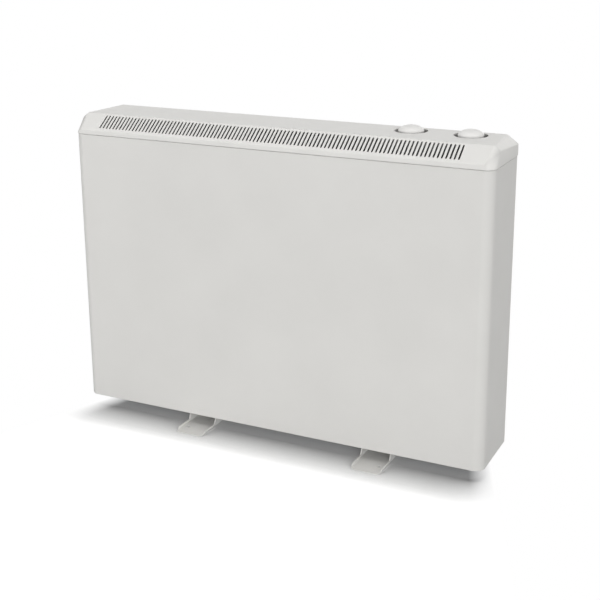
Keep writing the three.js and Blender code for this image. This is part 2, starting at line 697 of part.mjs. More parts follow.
/**
 * Pressed foot: floor plate, side walls that are low in front and high under the tray, and a
 * tab on the side that way gives, -1 for the left one and 1 for the right one.
 */
function foot(way) {
  const half = FOOT_WIDTH / 2;
  const top = TRAY_Z - SEAT;
  const lipStart = FOOT_FRONT_Y + FOOT_CORNER;
  const riseStart = CASING_FRONT + FOOT_RISE_SETBACK;
  const wall = [
    [lipStart, 0],
    [BACK_Y - FOOT_SHEET, 0],
    [BACK_Y - FOOT_SHEET, top],
    [riseStart + FOOT_RISE_RUN, top],
    [riseStart, FOOT_LIP],
    [lipStart + FOOT_LIP_RAMP, FOOT_LIP],
    [lipStart, FOOT_SHEET],
  ];
  const walls = [-half, half - FOOT_SHEET].map((x) => beam(wall, x, x + FOOT_SHEET));
  const tabEnds = [way * (half - FOOT_TAB_REACH), way * (half - FOOT_SHEET / 2)];
  const tab = block(
    [Math.min(...tabEnds), FOOT_BOLT_Y - FOOT_TAB_LENGTH / 2, top - FOOT_SHEET],
    [Math.max(...tabEnds), FOOT_BOLT_Y + FOOT_TAB_LENGTH / 2, top]);
  const boltHole = rod([way * FOOT_BOLT_OFFSET, FOOT_BOLT_Y, top - FOOT_SHEET - LAP],
    AXIS_Z, FOOT_SHEET + 2 * LAP, BOLT_RADIUS + SEAT);
  const floorHole = rod(
    [way * (half - FOOT_HOLE_INSET_X), FOOT_FRONT_Y + FOOT_HOLE_INSET_Y, -LAP],
    AXIS_Z, FOOT_SHEET + 2 * LAP, FOOT_HOLE_RADIUS, HOLE_SIDES);
  return cut(join(slab(footPlan(), 0, FOOT_SHEET), ...walls, tab), boltHole, floorHole);
}

/** Hexagon bolt, its head's upper face at z = 0 and its shank above. */
function footBolt() {
  return join(
    rod([0, 0, -BOLT_HEAD_HEIGHT], AXIS_Z, BOLT_HEAD_HEIGHT, BOLT_HEAD_RADIUS, HEXAGON_SIDES),
    rod([0, 0, -BOLT_HEAD_HEIGHT / 2], AXIS_Z,
      BOLT_HEAD_HEIGHT / 2 + FOOT_SHEET + SEAT + NUT_HEIGHT, BOLT_RADIUS));
}

/** Round-head screw, its head's upper face at z = 0 and its shank above. */
function casingScrew() {
  return join(
    rod([0, 0, -SCREW_HEAD_HEIGHT], AXIS_Z, SCREW_HEAD_HEIGHT, SCREW_HEAD_RADIUS),
    rod([0, 0, -SCREW_HEAD_HEIGHT / 2], AXIS_Z,
      SCREW_HEAD_HEIGHT / 2 + SHEET + SEAT + NUT_HEIGHT, SCREW_RADIUS, HOLE_SIDES));
}

// ---- Core ---------------------------------------------------------------------------------

/** One storage brick: inner face at y = 0 with two element grooves and two air channels. */
function brick() {
  const half = BRICK_HEIGHT / 2;
  const groove = (z) => [
    [0, z + GROOVE_MOUTH / 2],
    [GROOVE_DEPTH, z + GROOVE_FLOOR / 2],
    [GROOVE_DEPTH, z - GROOVE_FLOOR / 2],
    [0, z - GROOVE_MOUTH / 2],
  ];
  const section = [
    [0, -half],
    [BRICK_DEPTH, -half],
    [BRICK_DEPTH, half],
    [0, half],
    ...groove(ELEMENT_SPREAD / 2),
    ...groove(-ELEMENT_SPREAD / 2),
  ];
  const channels = [-CHANNEL_SPREAD / 2, CHANNEL_SPREAD / 2].map((x) => block(
    [x - CHANNEL_WIDTH / 2, -CHANNEL_DEPTH, -BRICK_HEIGHT],
    [x + CHANNEL_WIDTH / 2, CHANNEL_DEPTH, BRICK_HEIGHT]));
  return cut(beam(section, -BRICK_LENGTH / 2, BRICK_LENGTH / 2), ...channels);
}

/** Height of the middle of a row of bricks. */
const rowMiddle = (row) => CORE_BOTTOM + BRICK_HEIGHT / 2 + row * (BRICK_HEIGHT + SEAT);

/** Hairpin element: two legs in the grooves, its bend in the first air channel, two pins. */
function heatingElement() {
  const half = ELEMENT_SPREAD / 2;
  const [bendX] = channelPlaces();
  const end = BULKHEAD_FACE + ELEMENT_TAIL;
  const route = rounded(
    [[end, 0, -half], [bendX, 0, -half], [bendX, 0, half], [end, 0, half]], ELEMENT_BEND_RADIUS);
  const pins = [-half, half].map((z) => rod(
    [end - PIN_LENGTH / 2, 0, z], AXIS_X, 1.5 * PIN_LENGTH, PIN_RADIUS, SMALL_SIDES));
  return join(tube(route, ELEMENT_RADIUS), ...pins);
}

/** Base insulation, with air slots and pockets over the welded nuts. */
function baseInsulation() {
  const pockets = BOLT_PLACES.map((x) => rod(
    [x, FOOT_BOLT_Y, TRAY_FLOOR], AXIS_Z, NUT_HEIGHT + LAP, 2 * BOLT_HEAD_RADIUS));
  const board = block(
    [CORE_BOX_LEFT, INSULATION_FRONT, FLOOR_SEAT],
    [CORE_BOX_RIGHT, TRAY_INSIDE_BACK - SEAT, FLOOR_SEAT + BASE_INSULATION]);
  return cut(board, ...airSlots(channelPlaces(), BASE_HEIGHT, CORE_BOTTOM), ...pockets);
}

/** Top insulation, with air slots under the duct only. */
function topInsulation() {
  const ducted = channelPlaces().filter((x) => x + AIR_SLOT_LENGTH / 2 < DUCT_RIGHT);
  const board = block(
    [CORE_BOX_LEFT, INSULATION_FRONT, LID_BOTTOM],
    [CORE_BOX_RIGHT, INSULATION_BACK, LID_TOP]);
  return cut(board, ...airSlots(ducted, CORE_TOP, LID_SEAT));
}

/** Places of the elements' ends, as heights. */
function elementEnds(way) {
  return Array.from({ length: ROWS }, (_, row) => rowMiddle(row) + (way * ELEMENT_SPREAD) / 2);
}

/** Holes for the elements and the phial, cut along X between two places. */
function endHoles(x0, x1) {
  const elements = [...elementEnds(-1), ...elementEnds(1)].map((z) =>
    rod([x0, CORE_Y0, z], AXIS_X, x1 - x0, ELEMENT_HOLE_RADIUS, HOLE_SIDES));
  const phial = rod(
    [x0, PHIAL_Y, PHIAL_Z], AXIS_X, x1 - x0, PHIAL_RADIUS + PIN_CLEARANCE, HOLE_SIDES);
  return [...elements, phial];
}

/** End insulation between the bricks and the bulkhead. */
function rightInsulation() {
  const board = block(
    [CORE_RIGHT + SEAT, CORE_Y0 - CORE_DEPTH / 2, CORE_BOTTOM],
    [CORE_BOX_RIGHT, CORE_Y0 + CORE_DEPTH / 2, CORE_TOP]);
  return cut(board, ...endHoles(CORE_RIGHT, CORE_BOX_RIGHT + SEAT));
}

// ---- Outlet duct and damper ---------------------------------------------------------------

/** The duct's left end, just past the first air slot. */
const ductLeft = () => channelPlaces()[0] - AIR_SLOT_LENGTH / 2 - DUCT_SIDE_GAP - SHEET;

/** Hood over the core: front wall, back wall with its sloping roof, and two end plates. */
function outletDuct() {
  const left = ductLeft();
  const rise = (DUCT_MOUTH_Z - DUCT_SHOULDER) / (DUCT_REAR - DUCT_MOUTH_Y);
  const ceiling = (y) => DUCT_SHOULDER + (DUCT_REAR - y) * rise - SHEET * Math.hypot(1, rise);
  const front = DUCT_FRONT + SHEET;
  const rear = DUCT_REAR - SHEET;
  const outside = beam([
    [DUCT_FRONT, LID_SEAT],
    [DUCT_REAR, LID_SEAT],
    [DUCT_REAR, DUCT_SHOULDER],
    [DUCT_MOUTH_Y, DUCT_MOUTH_Z],
    [DUCT_FRONT, DUCT_FRONT_TOP],
  ], left, DUCT_RIGHT);
  const inside = beam([
    [front, LID_BOTTOM],
    [rear, LID_BOTTOM],
    [rear, ceiling(rear)],
    [front, ceiling(front)],
  ], left + SHEET, DUCT_RIGHT - SHEET);
  const bearings = rod([left - LAP, ROD_Y, ROD_Z], AXIS_X,
    DUCT_RIGHT - left + 2 * LAP, ROD_RADIUS + PIN_CLEARANCE);
  return cut(outside, inside, bearings);
}

/** Flap, about its own hinge at y = z = 0: a plate with a barrel round the rod. */
function damperFlap() {
  const x0 = ductLeft() + SHEET + FLAP_END_GAP;
  const x1 = DUCT_RIGHT - SHEET - FLAP_END_GAP;
  const tip = DUCT_FRONT + SHEET + FLAP_TIP_GAP - ROD_Y;
  const bore = ROD_RADIUS + SEAT;
  const plate = block([x0, tip, -FLAP_SHEET / 2], [x1, -bore, FLAP_SHEET / 2]);
  const barrel = rod([x0, 0, 0], AXIS_X, x1 - x0, bore + BARREL_WALL);
  return cut(join(plate, barrel), rod([x0 - LAP, 0, 0], AXIS_X, x1 - x0 + 2 * LAP, bore));
}

/** Hinge rod, about its own axis, with the crank whose pin runs under the cam. */
function damperRod() {
  const start = ductLeft() - 2 * FLAP_END_GAP;
  const shaft = rod([start, 0, 0], AXIS_X, CRANK_X + CRANK_PLATE - start, ROD_RADIUS);
  const arm = block(
    [CRANK_X, -CRANK_WIDTH / 2, -CRANK_WIDTH / 2],
    [CRANK_X + CRANK_PLATE, CRANK_RADIUS + CRANK_PIN_RADIUS, CRANK_WIDTH / 2]);
  const pin = rod([CRANK_X + CRANK_PLATE / 2, CRANK_RADIUS, 0], AXIS_X,
    CRANK_PIN_REACH - CRANK_PLATE / 2, CRANK_PIN_RADIUS);
  return join(shaft, arm, pin);
}

// ---- Controls -----------------------------------------------------------------------------

/** Knob about its own axis, its lower edge at z = 0: domed top, hollow below, hub with a bore. */
function knob() {
  const edge = RECESS_DEPTH - KNOB_LIFT + KNOB_EDGE_RISE;
  const dome = KNOB_RISE - KNOB_EDGE_RISE;
  const crown = [];
  for (let i = 0; i <= KNOB_CROWN_STEPS; i += 1) {
    const angle = (Math.PI / 2) * (1 - i / KNOB_CROWN_STEPS);
    crown.push([KNOB_RADIUS * Math.cos(angle), edge + dome * Math.sin(angle)]);
  }
  const ceiling = edge - KNOB_WALL;
  const bore = SPINDLE_RADIUS + SEAT;
  const profile = [
    ...crown,
    [KNOB_RADIUS, 0],
    [KNOB_RADIUS - KNOB_WALL, 0],
    [KNOB_RADIUS - KNOB_WALL, ceiling],
    [KNOB_HUB_RADIUS, ceiling],
    [KNOB_HUB_RADIUS, 0],
    [bore, 0],
    [bore, SPINDLE_GRIP + SEAT],
    [0, SPINDLE_GRIP + SEAT],
  ];
  return solid(turned(profile.reverse(), KNOB_SIDES));
}

/** The flap's angle, in radians, when the knob has turned by an angle in degrees. */
const flapAngle = (turn) => THREE.MathUtils.degToRad((turn * FLAP_TURN) / KNOB_TURN);

/** How far the crank pin has gone down by then. */
const pinDrop = (turn) => CRANK_RADIUS * Math.sin(flapAngle(turn));

/** How far the pin has moved round the cam by then, seen from the spindle, in degrees. */
function pinShift(turn) {
  const shift = CRANK_RADIUS * (1 - Math.cos(flapAngle(turn)));
  return THREE.MathUtils.radToDeg(Math.atan2(shift, CAM_MEAN_RADIUS));
}

/** Depth of the cam's ramp at an angle from where the pin rests, in degrees. */
function camDepth(angle) {
  const end = KNOB_TURN + pinShift(KNOB_TURN);
  const full = pinDrop(KNOB_TURN);
  if (angle > end + CAM_DWELL) {
    return full * Math.max(0, 1 - (angle - end - CAM_DWELL) / CAM_RETURN);
  }
  let turn = angle;
  for (let i = 0; i < CAM_SOLVE_ROUNDS; i += 1) turn = angle - pinShift(turn);
  return turn < KNOB_TURN ? pinDrop(turn) : full;
}

/** Output spindle in its own place on the Z axis: shaft, collar, and the cam with its ramp. */
function outputSpindle() {
  const top = KNOB_BASE + SPINDLE_GRIP;
  const shaft = rod([0, 0, CAM_TOP - CAM_WEB], AXIS_Z, top - CAM_TOP + CAM_WEB, SPINDLE_RADIUS);
  const collar = rod([0, 0, BRACKET_Z + BRACKET_SHEET + SEAT], AXIS_Z, COLLAR_HEIGHT, COLLAR_RADIUS);
  const ramp = turned([
    [CAM_INNER_RADIUS, CAM_ZERO],
    [CAM_OUTER_RADIUS, CAM_ZERO],
    [CAM_OUTER_RADIUS, CAM_TOP],
    [CAM_INNER_RADIUS, CAM_TOP],
    [CAM_INNER_RADIUS, CAM_ZERO],
  ], CAM_STEPS);
  const places = ramp.attributes.position;
  for (let i = 0; i < places.count; i += 1) {
    if (places.getZ(i) < CAM_TOP - CAM_WEB) {
      const around = THREE.MathUtils.radToDeg(Math.atan2(places.getY(i), places.getX(i)));
      const angle = THREE.MathUtils.euclideanModulo(Math.round(around - 180), 360);
      places.setZ(i, CAM_ZERO - camDepth(angle));
    }
  }
  const web = rod([0, 0, CAM_TOP - CAM_WEB], AXIS_Z, CAM_WEB, CAM_MEAN_RADIUS);
  return join(shaft, collar, solid(ramp), web);
}

/** Input spindle in its own place on the Z axis. */
function inputSpindle() {
  const bottom = BRACKET_Z - SPINDLE_BORE_DEPTH;
  return rod([0, 0, bottom], AXIS_Z, KNOB_BASE + SPINDLE_GRIP - bottom, SPINDLE_RADIUS);
}

/** Bracket that carries both controls: a shelf on the bulkhead, with a leg on the insulation. */
function controlBracket() {
  const top = BRACKET_Z + BRACKET_SHEET;
  const strip = bent([
    [BRACKET_LEFT, LID_SEAT],
    [BRACKET_LEFT + BRACKET_FOOT, LID_SEAT],
    [BRACKET_LEFT + BRACKET_FOOT, LID_SEAT + BRACKET_SHEET],
    [BRACKET_LEFT + BRACKET_SHEET, LID_SEAT + BRACKET_SHEET],
    [BRACKET_LEFT + BRACKET_SHEET, BRACKET_Z],
    [BRACKET_RIGHT, BRACKET_Z],
    [BRACKET_RIGHT, top],
    [BRACKET_LEFT, top],
  ], BRACKET_FRONT, BRACKET_BACK);
  const through = BRACKET_SHEET + 2 * LAP;
  const hole = (x, radius) => rod([x, KNOB_Y, BRACKET_Z - LAP], AXIS_Z, through, radius);
  return cut(
    strip,
    hole(OUTPUT_X, SPINDLE_RADIUS + PIN_CLEARANCE),
    hole(INPUT_X, BUSH_RADIUS + PIN_CLEARANCE),
    rod([BRACKET_LEFT - LAP, ROD_Y, ROD_Z], AXIS_X, through, ROD_RADIUS + PIN_CLEARANCE));
}

/** Plate between the core and the control gear, with a foot on the tray. */
function controlBulkhead() {
  const plate = bent([
    [BULKHEAD_X, FLOOR_SEAT],
    [BULKHEAD_FACE + BULKHEAD_FLANGE, FLOOR_SEAT],
    [BULKHEAD_FACE + BULKHEAD_FLANGE, FLOOR_SEAT + SHEET],
    [BULKHEAD_FACE, FLOOR_SEAT + SHEET],
    [BULKHEAD_FACE, BRACKET_Z - SEAT],
    [BULKHEAD_X, BRACKET_Z - SEAT],
  ], PANEL_Y, BULKHEAD_BACK);
  return cut(plate, ...endHoles(BULKHEAD_X - LAP, BULKHEAD_FACE + LAP));
}

/** Charge thermostat: box, threaded bush, capillary, and the phial against the core's end. */
function chargeThermostat() {
  const top = BRACKET_Z - SEAT;
  const body = block(
    [INPUT_X - THERMOSTAT_WIDTH / 2, KNOB_Y - THERMOSTAT_DEPTH / 2, top - THERMOSTAT_HEIGHT],
    [INPUT_X + THERMOSTAT_WIDTH / 2, KNOB_Y + THERMOSTAT_DEPTH / 2, top]);
  const bush = rod([INPUT_X, KNOB_Y, top - LAP], AXIS_Z, BUSH_HEIGHT + LAP, BUSH_RADIUS);
  const bore = rod([INPUT_X, KNOB_Y, top - SPINDLE_BORE_DEPTH], AXIS_Z,
    SPINDLE_BORE_DEPTH + BUSH_HEIGHT + LAP, SPINDLE_RADIUS + PIN_CLEARANCE);
  const phialStart = CORE_RIGHT + 2 * SEAT;
  const phialEnd = phialStart + PHIAL_LENGTH;
  const phial = rod(
    [phialStart, PHIAL_Y, PHIAL_Z], AXIS_X, PHIAL_LENGTH, PHIAL_RADIUS, HOLE_SIDES);
  const exit = [INPUT_X + THERMOSTAT_WIDTH / 4, KNOB_Y + THERMOSTAT_DEPTH / 4];
  const capillary = tube(rounded([
    [...exit, top - THERMOSTAT_HEIGHT + LAP],
    [...exit, PHIAL_Z + 3 * WIRE_BEND_RADIUS],
    [phialEnd + 2 * WIRE_BEND_RADIUS, PHIAL_Y, PHIAL_Z],
    [phialEnd - LAP, PHIAL_Y, PHIAL_Z],
  ], WIRE_BEND_RADIUS), CAPILLARY_RADIUS);
  return join(cut(join(body, bush), bore), capillary, phial);
}

/** Disc cut-out on the bulkhead: one tab meets the thermostat, the other takes the live lead. */
function thermalCutout() {
  const face = BULKHEAD_FACE + SEAT;
  const body = rod([face, CUTOUT_Y, CUTOUT_Z], AXIS_X, CUTOUT_BODY, CUTOUT_RADIUS);
  const linkEnd = INPUT_X - THERMOSTAT_WIDTH / 2 - SEAT;
  const tab = (y, z, end) => block(
    [face + CUTOUT_BODY - LAP, y - TAB_WIDTH / 2, z], [end, y + TAB_WIDTH / 2, z + TAB_SHEET]);
  return join(
    body,
    tab(CUTOUT_Y, CUTOUT_Z + CUTOUT_RADIUS / 2, linkEnd),
    tab(CUTOUT_Y - TAB_WIDTH / 2, LIVE_TAB_Z, face + CUTOUT_BODY + LIVE_TAB_LENGTH));
}

/** Terminal block on the bulkhead, with blind holes for the wires. */
function terminalBlock() {
  const face = BULKHEAD_FACE + SEAT;
  const top = TERMINAL_BLOCK_TOP;
  const body = block(
    [face, NEUTRAL_Y - TERMINAL_MARGIN, top - TERMINAL_BLOCK_HEIGHT],
    [face + TERMINAL_BLOCK_DEPTH, MAINS_Y + TERMINAL_MARGIN, top]);
  const holes = [NEUTRAL_Y, MAINS_Y].map((y) => rod([WIRE_X, y, top - TERMINAL_DEPTH], AXIS_Z,
    TERMINAL_DEPTH + LAP, WIRE_RADIUS + PIN_CLEARANCE, SMALL_SIDES));
  return cut(body, ...holes);
}

/** Insulating boots over the element pins, each with its branch to a lead that runs beside. */
function boots(heights, leadY) {
  const pinEnd = BULKHEAD_FACE + ELEMENT_TAIL + PIN_LENGTH;
  return heights.flatMap((z) => {
    const hoodEnd = pinEnd + BOOT_RADIUS;
    const hood = cut(
      rod([hoodEnd - BOOT_LENGTH, CORE_Y0, z], AXIS_X, BOOT_LENGTH, BOOT_RADIUS, HOLE_SIDES),
      rod([pinEnd - BOOT_LENGTH, CORE_Y0, z], AXIS_X, BOOT_LENGTH + SEAT,
        PIN_RADIUS + SEAT, SMALL_SIDES));
    const branch = tube(
      rounded([[hoodEnd - LAP, CORE_Y0, z], [WIRE_X, CORE_Y0, z], [WIRE_X, leadY, z]], LEAD_BEND_RADIUS),
      WIRE_RADIUS);
    return [hood, branch];
  });
}

/** Neutral lead: from the terminal block up to the lower pin of each element. */
function neutralLead() {
  const ends = elementEnds(-1);
  const run = rod([WIRE_X, NEUTRAL_Y, WIRE_FOOT], AXIS_Z,
    ends[ROWS - 1] + WIRE_RADIUS - WIRE_FOOT, WIRE_RADIUS, WIRE_SIDES);
  return join(run, ...boots(ends, NEUTRAL_Y));
}

/** Live lead: from the cut-out's tab down to the upper pin of each element. */
function liveLead() {
  const ends = elementEnds(1);
  const tabEnd = BULKHEAD_FACE + SEAT + CUTOUT_BODY + LIVE_TAB_LENGTH + SEAT;
  const tabY = CUTOUT_Y - TAB_WIDTH / 2;
  const tabZ = LIVE_TAB_Z + TAB_SHEET / 2;
  const below = INPUT_X - THERMOSTAT_WIDTH / 2;
  const run = tube(rounded([
    [tabEnd, tabY, tabZ],
    [(tabEnd + below) / 2, tabY, tabZ],
    [(tabEnd + below) / 2, tabY, tabZ - 2 * WIRE_BEND_RADIUS],
    [WIRE_X, LIVE_Y, tabZ - 5 * WIRE_BEND_RADIUS],
    [WIRE_X, LIVE_Y, ends[0] - WIRE_RADIUS],
  ], LEAD_BEND_RADIUS), WIRE_RADIUS);
  return join(run, ...boots(ends, LIVE_Y));
}

/** Mains lead: from the terminal block up to the thermostat's underside. */
function mainsLead() {
  const top = BRACKET_Z - SEAT - THERMOSTAT_HEIGHT - SEAT;
  const shift = INPUT_X - WIRE_X;
  return tube(rounded([
    [WIRE_X, MAINS_Y, WIRE_FOOT],
    [WIRE_X, MAINS_Y, top - 4 * shift],
    [INPUT_X, MAINS_Y, top - shift],
    [INPUT_X, MAINS_Y, top],
  ], WIRE_BEND_RADIUS), WIRE_RADIUS);
}

/** Cable gland in the tray, its flange below and its bore clear for a cable. */
function cableGland() {
  const top = GLAND_FLANGE_HEIGHT + SEAT + SHEET + GLAND_NECK_HEIGHT;
  return solid(turned([
    [GLAND_BORE, 0],
    [GLAND_FLANGE_RADIUS, 0],
    [GLAND_FLANGE_RADIUS, GLAND_FLANGE_HEIGHT],
    [GLAND_NECK_RADIUS, GLAND_FLANGE_HEIGHT],
    [GLAND_NECK_RADIUS, top],
    [GLAND_BORE, top],
    [GLAND_BORE, 0],
  ]));
}

// ---- Scene graph --------------------------------------------------------------------------

/** A named mesh with its own material. */
function piece(name, body, finish, position = [0, 0, 0], turn = 0) {
  const material = new THREE.MeshStandardMaterial({ ...FINISHES[finish], flatShading: true });
  const mesh = new THREE.Mesh(geometryOf(body), material);
  mesh.name = name;
  mesh.position.set(...position);
  mesh.rotation.z = turn;
  return mesh;
}

/** A group that holds pieces, moved as one. */
function assembly(position, ...pieces) {
  const group = new THREE.Group();
  group.position.set(...position);
  for (const item of pieces) group.add(item);
  return group;
}

/** Outer casing with its cover, feet and fasteners. */
function casingGroup() {
  const boltZ = TRAY_Z - SEAT - FOOT_SHEET - SEAT;
  const screwZ = BASE_HEIGHT - SEAT;
  return assembly([0, 0, 0],
    piece('front_casing', frontCasing(), 'paint', [0, 0, BASE_HEIGHT]),
    piece('top_cover', topCover(), 'moulding'),
    piece('back_panel', backPanel(), 'galvanised', [0, BACK_Y, BASE_HEIGHT]),
    piece('base_tray', baseTray(), 'galvanised', [0, 0, TRAY_Z]),
    piece('inner_front_panel', innerFrontPanel(), 'galvanised', [0, PANEL_Y, FLOOR_SEAT]),
    piece('control_bulkhead', controlBulkhead(), 'galvanised'),
    piece('foot_left', foot(-1), 'paint', [FOOT_LEFT_X, 0, 0]),
    piece('foot_right', foot(1), 'paint', [FOOT_RIGHT_X, 0, 0]),
    piece('foot_bolt_left', footBolt(), 'zinc', [BOLT_PLACES[0], FOOT_BOLT_Y, boltZ]),
    piece('foot_bolt_right', footBolt(), 'zinc', [BOLT_PLACES[1], FOOT_BOLT_Y, boltZ]),
    piece('casing_screw_left', casingScrew(), 'zinc', [-SCREW_X, SCREW_Y, screwZ]),
    piece('casing_screw_right', casingScrew(), 'zinc', [SCREW_X, SCREW_Y, screwZ]));
}

/** Bricks, row by row from the bottom, a front and a rear brick in each place. */
function brickGroup() {
  const body = brick();
  const group = assembly([CORE_LEFT + BRICK_LENGTH / 2, CORE_Y0, CORE_BOTTOM + BRICK_HEIGHT / 2]);
  for (let row = 0; row < ROWS; row += 1) {
    for (let column = 0; column < COLUMNS; column += 1) {
      const x = column * (BRICK_LENGTH + SEAT);
      const z = row * (BRICK_HEIGHT + SEAT);
      const place = `${row + 1}_${column + 1}`;
      group.add(
        piece(`brick_rear_${place}`, body, 'brick', [x, SEAT / 2, z]),
        piece(`brick_front_${place}`, body, 'brick', [x, -SEAT / 2, z], Math.PI));
    }
  }
  return group;
}

/** Insulation round the core. */
function insulationGroup() {
  const [y0, y1] = [CORE_Y0 - CORE_DEPTH / 2, CORE_Y0 + CORE_DEPTH / 2];
  const left = block(
    [CORE_BOX_LEFT, y0, CORE_BOTTOM], [CORE_LEFT - SEAT, y1, CORE_TOP]);
  const front = block(
    [CORE_BOX_LEFT, INSULATION_FRONT, CORE_BOTTOM], [CORE_BOX_RIGHT, y0 - SEAT, CORE_TOP]);
  const rear = block(
    [CORE_BOX_LEFT, y1 + SEAT, CORE_BOTTOM], [CORE_BOX_RIGHT, INSULATION_BACK, CORE_TOP]);
  return assembly([0, 0, 0],
    piece('insulation_base', baseInsulation(), 'insulation'),
    piece('insulation_top', topInsulation(), 'insulation'),
    piece('insulation_left', left, 'insulation'),
    piece('insulation_right', rightInsulation(), 'insulation'),
    piece('insulation_front', front, 'insulation'),
    piece('insulation_rear', rear, 'insulation'));
}

/** One hairpin element in each row of bricks. */
function elementGroup() {
  const body = heatingElement();
  const group = assembly([0, CORE_Y0, 0]);
  for (let row = 0; row < ROWS; row += 1) {
    group.add(piece(`heating_element_${row + 1}`, body, 'sheath', [0, 0, rowMiddle(row)]));
  }
  return group;
}

/** Duct, flap and rod. */
function damperGroup() {
  return assembly([0, 0, 0],
    piece('outlet_duct', outletDuct(), 'galvanised'),
    assembly([0, ROD_Y, ROD_Z],
      piece('damper_flap', damperFlap(), 'galvanised'),
      piece('damper_rod', damperRod(), 'zinc')));
}

/** Knobs, spindles and the gear in the control compartment. */
function controlGroup() {
  const knobBody = knob();
  return assembly([0, 0, 0],
    piece('control_bracket', controlBracket(), 'galvanised'),
    piece('charge_thermostat', chargeThermostat(), 'phenolic'),
    piece('thermal_cutout', thermalCutout(), 'phenolic'),
    piece('terminal_block', terminalBlock(), 'nylon'),
    piece('cable_gland', cableGland(), 'rubber',
      [GLAND_X, GLAND_Y, TRAY_Z - SEAT - GLAND_FLANGE_HEIGHT]),
    piece('live_lead', liveLead(), 'brownWire'),
    piece('neutral_lead', neutralLead(), 'blueWire'),
    piece('mains_lead', mainsLead(), 'brownWire'),
    assembly([OUTPUT_X, KNOB_Y, 0],
      piece('output_knob', knobBody, 'moulding', [0, 0, KNOB_BASE]),
      piece('output_spindle', outputSpindle(), 'nylon')),
    assembly([INPUT_X, KNOB_Y, 0],
      piece('input_knob', knobBody, 'moulding', [0, 0, KNOB_BASE]),
      piece('input_spindle', inputSpindle(), 'brass')));
}

const storageHeater = assembly([0, 0, 0],
  casingGroup(), insulationGroup(), brickGroup(), elementGroup(), damperGroup(), controlGroup());

export default storageHeater;
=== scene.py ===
"""Looks of a slimline night storage heater: casing, top cover, knobs, feet, and the core inside.

Lengths are in metres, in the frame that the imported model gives: +Z up, front towards -Y.
"""

import logging
import math
from collections.abc import Callable, Iterator, Sequence
from contextlib import contextmanager
from dataclasses import dataclass, field, replace
from enum import Enum
from functools import cached_property

import bmesh
import bpy
from mathutils import Euler, Matrix, Vector


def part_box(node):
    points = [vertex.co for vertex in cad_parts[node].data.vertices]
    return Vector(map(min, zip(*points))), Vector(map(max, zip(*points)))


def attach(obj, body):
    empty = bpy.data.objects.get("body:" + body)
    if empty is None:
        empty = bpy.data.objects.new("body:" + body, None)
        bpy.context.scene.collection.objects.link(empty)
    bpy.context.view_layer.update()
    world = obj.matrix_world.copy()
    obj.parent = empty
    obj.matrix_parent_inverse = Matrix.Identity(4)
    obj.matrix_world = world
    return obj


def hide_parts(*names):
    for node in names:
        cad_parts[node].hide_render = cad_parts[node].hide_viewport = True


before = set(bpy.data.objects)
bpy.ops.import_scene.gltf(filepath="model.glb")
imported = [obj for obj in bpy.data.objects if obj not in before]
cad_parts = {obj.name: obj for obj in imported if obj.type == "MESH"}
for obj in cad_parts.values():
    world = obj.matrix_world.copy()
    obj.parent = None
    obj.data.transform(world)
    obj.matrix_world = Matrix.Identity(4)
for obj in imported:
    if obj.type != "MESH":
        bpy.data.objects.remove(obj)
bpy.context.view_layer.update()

MM = 0.001
LAP = 1 * MM  # How far a cutting tool reaches past what it cuts.
MERGE = 0.002 * MM  # Corners closer than this are one.
UPRIGHT = 0.99  # Least share of Z in a direction that counts as upright.
HOLE_STEPS = 32  # Sides of a small round hole or screw.
MIX_FIRST, MIX_SECOND, MIX_RESULT = 6, 7, 2  # Colour sockets of a Mix node.
WAVE_RATE = 20  # Radians that a Wave texture's bands turn in one unit.
BODY = "heater_body"

Piece = bpy.types.Object
Edge = bmesh.types.BMEdge
Socket = bpy.types.NodeSocket
Pair = tuple[float, float]
Spot = Sequence[float]

log = logging.getLogger("storage_heater")


# ---- Modelling ----


class Part(Enum):
    """What a selection in edit mode is made of."""

    EDGE = "EDGE"
    FACE = "FACE"


class Join(Enum):
    """How a tool changes the piece that it is used on."""

    CUT = "DIFFERENCE"
    ADD = "UNION"
    KEEP = "INTERSECT"


def take(piece: Piece) -> None:
    """Makes one piece the only selected one, and the active one."""
    bpy.ops.object.select_all(action="DESELECT")
    piece.select_set(True)
    bpy.context.view_layer.objects.active = piece


@contextmanager
def editing(piece: Piece, everything: bool = False) -> Iterator[None]:
    """Opens a piece in edit mode and closes it again.

    Args:
        piece: The piece to open.
        everything: Whether all of it is selected at first, or nothing.
    """
    take(piece)
    bpy.ops.object.mode_set(mode="EDIT")
    bpy.ops.mesh.select_all(action="SELECT" if everything else "DESELECT")
    yield
    bpy.ops.object.mode_set(mode="OBJECT")


def choose(piece: Piece, part: Part, test: Callable[..., bool]) -> int:
    """Selects the parts of the open piece that pass a test.

    Args:
        piece: The piece in edit mode.
        part: Edges or faces.
        test: Gets one part and says whether it is wanted.

    Returns:
        How many parts are selected.
    """
    bpy.ops.mesh.select_mode(type=part.value)
    bpy.ops.mesh.select_all(action="DESELECT")
    mesh = bmesh.from_edit_mesh(piece.data)
    mesh.normal_update()
    wanted = [each for each in (mesh.edges if part is Part.EDGE else mesh.faces) if test(each)]
    for each in wanted:
        each.select_set(True)
    mesh.select_flush_mode()
    bmesh.update_edit_mesh(piece.data)
    return len(wanted)


def middle(edge: Edge) -> Vector:
    """The middle of an edge."""
    return (edge.verts[0].co + edge.verts[1].co) / 2


def is_upright(edge: Edge) -> bool:
    """Whether an edge runs along Z."""
    return abs((edge.verts[1].co - edge.verts[0].co).normalized().z) > UPRIGHT


def is_sharp(edge: Edge, degrees: float) -> bool:
    """Whether the two faces of an edge meet at more than an angle."""
    return edge.calc_face_angle(0) > math.radians(degrees)


def heart(node: str) -> Vector:
    """The middle of a node's box."""
    low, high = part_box(node)
    return (low + high) / 2


def named(name: str) -> Piece:
    """Names the object that was just added."""
    piece = bpy.context.active_object
    piece.name = name
    return piece


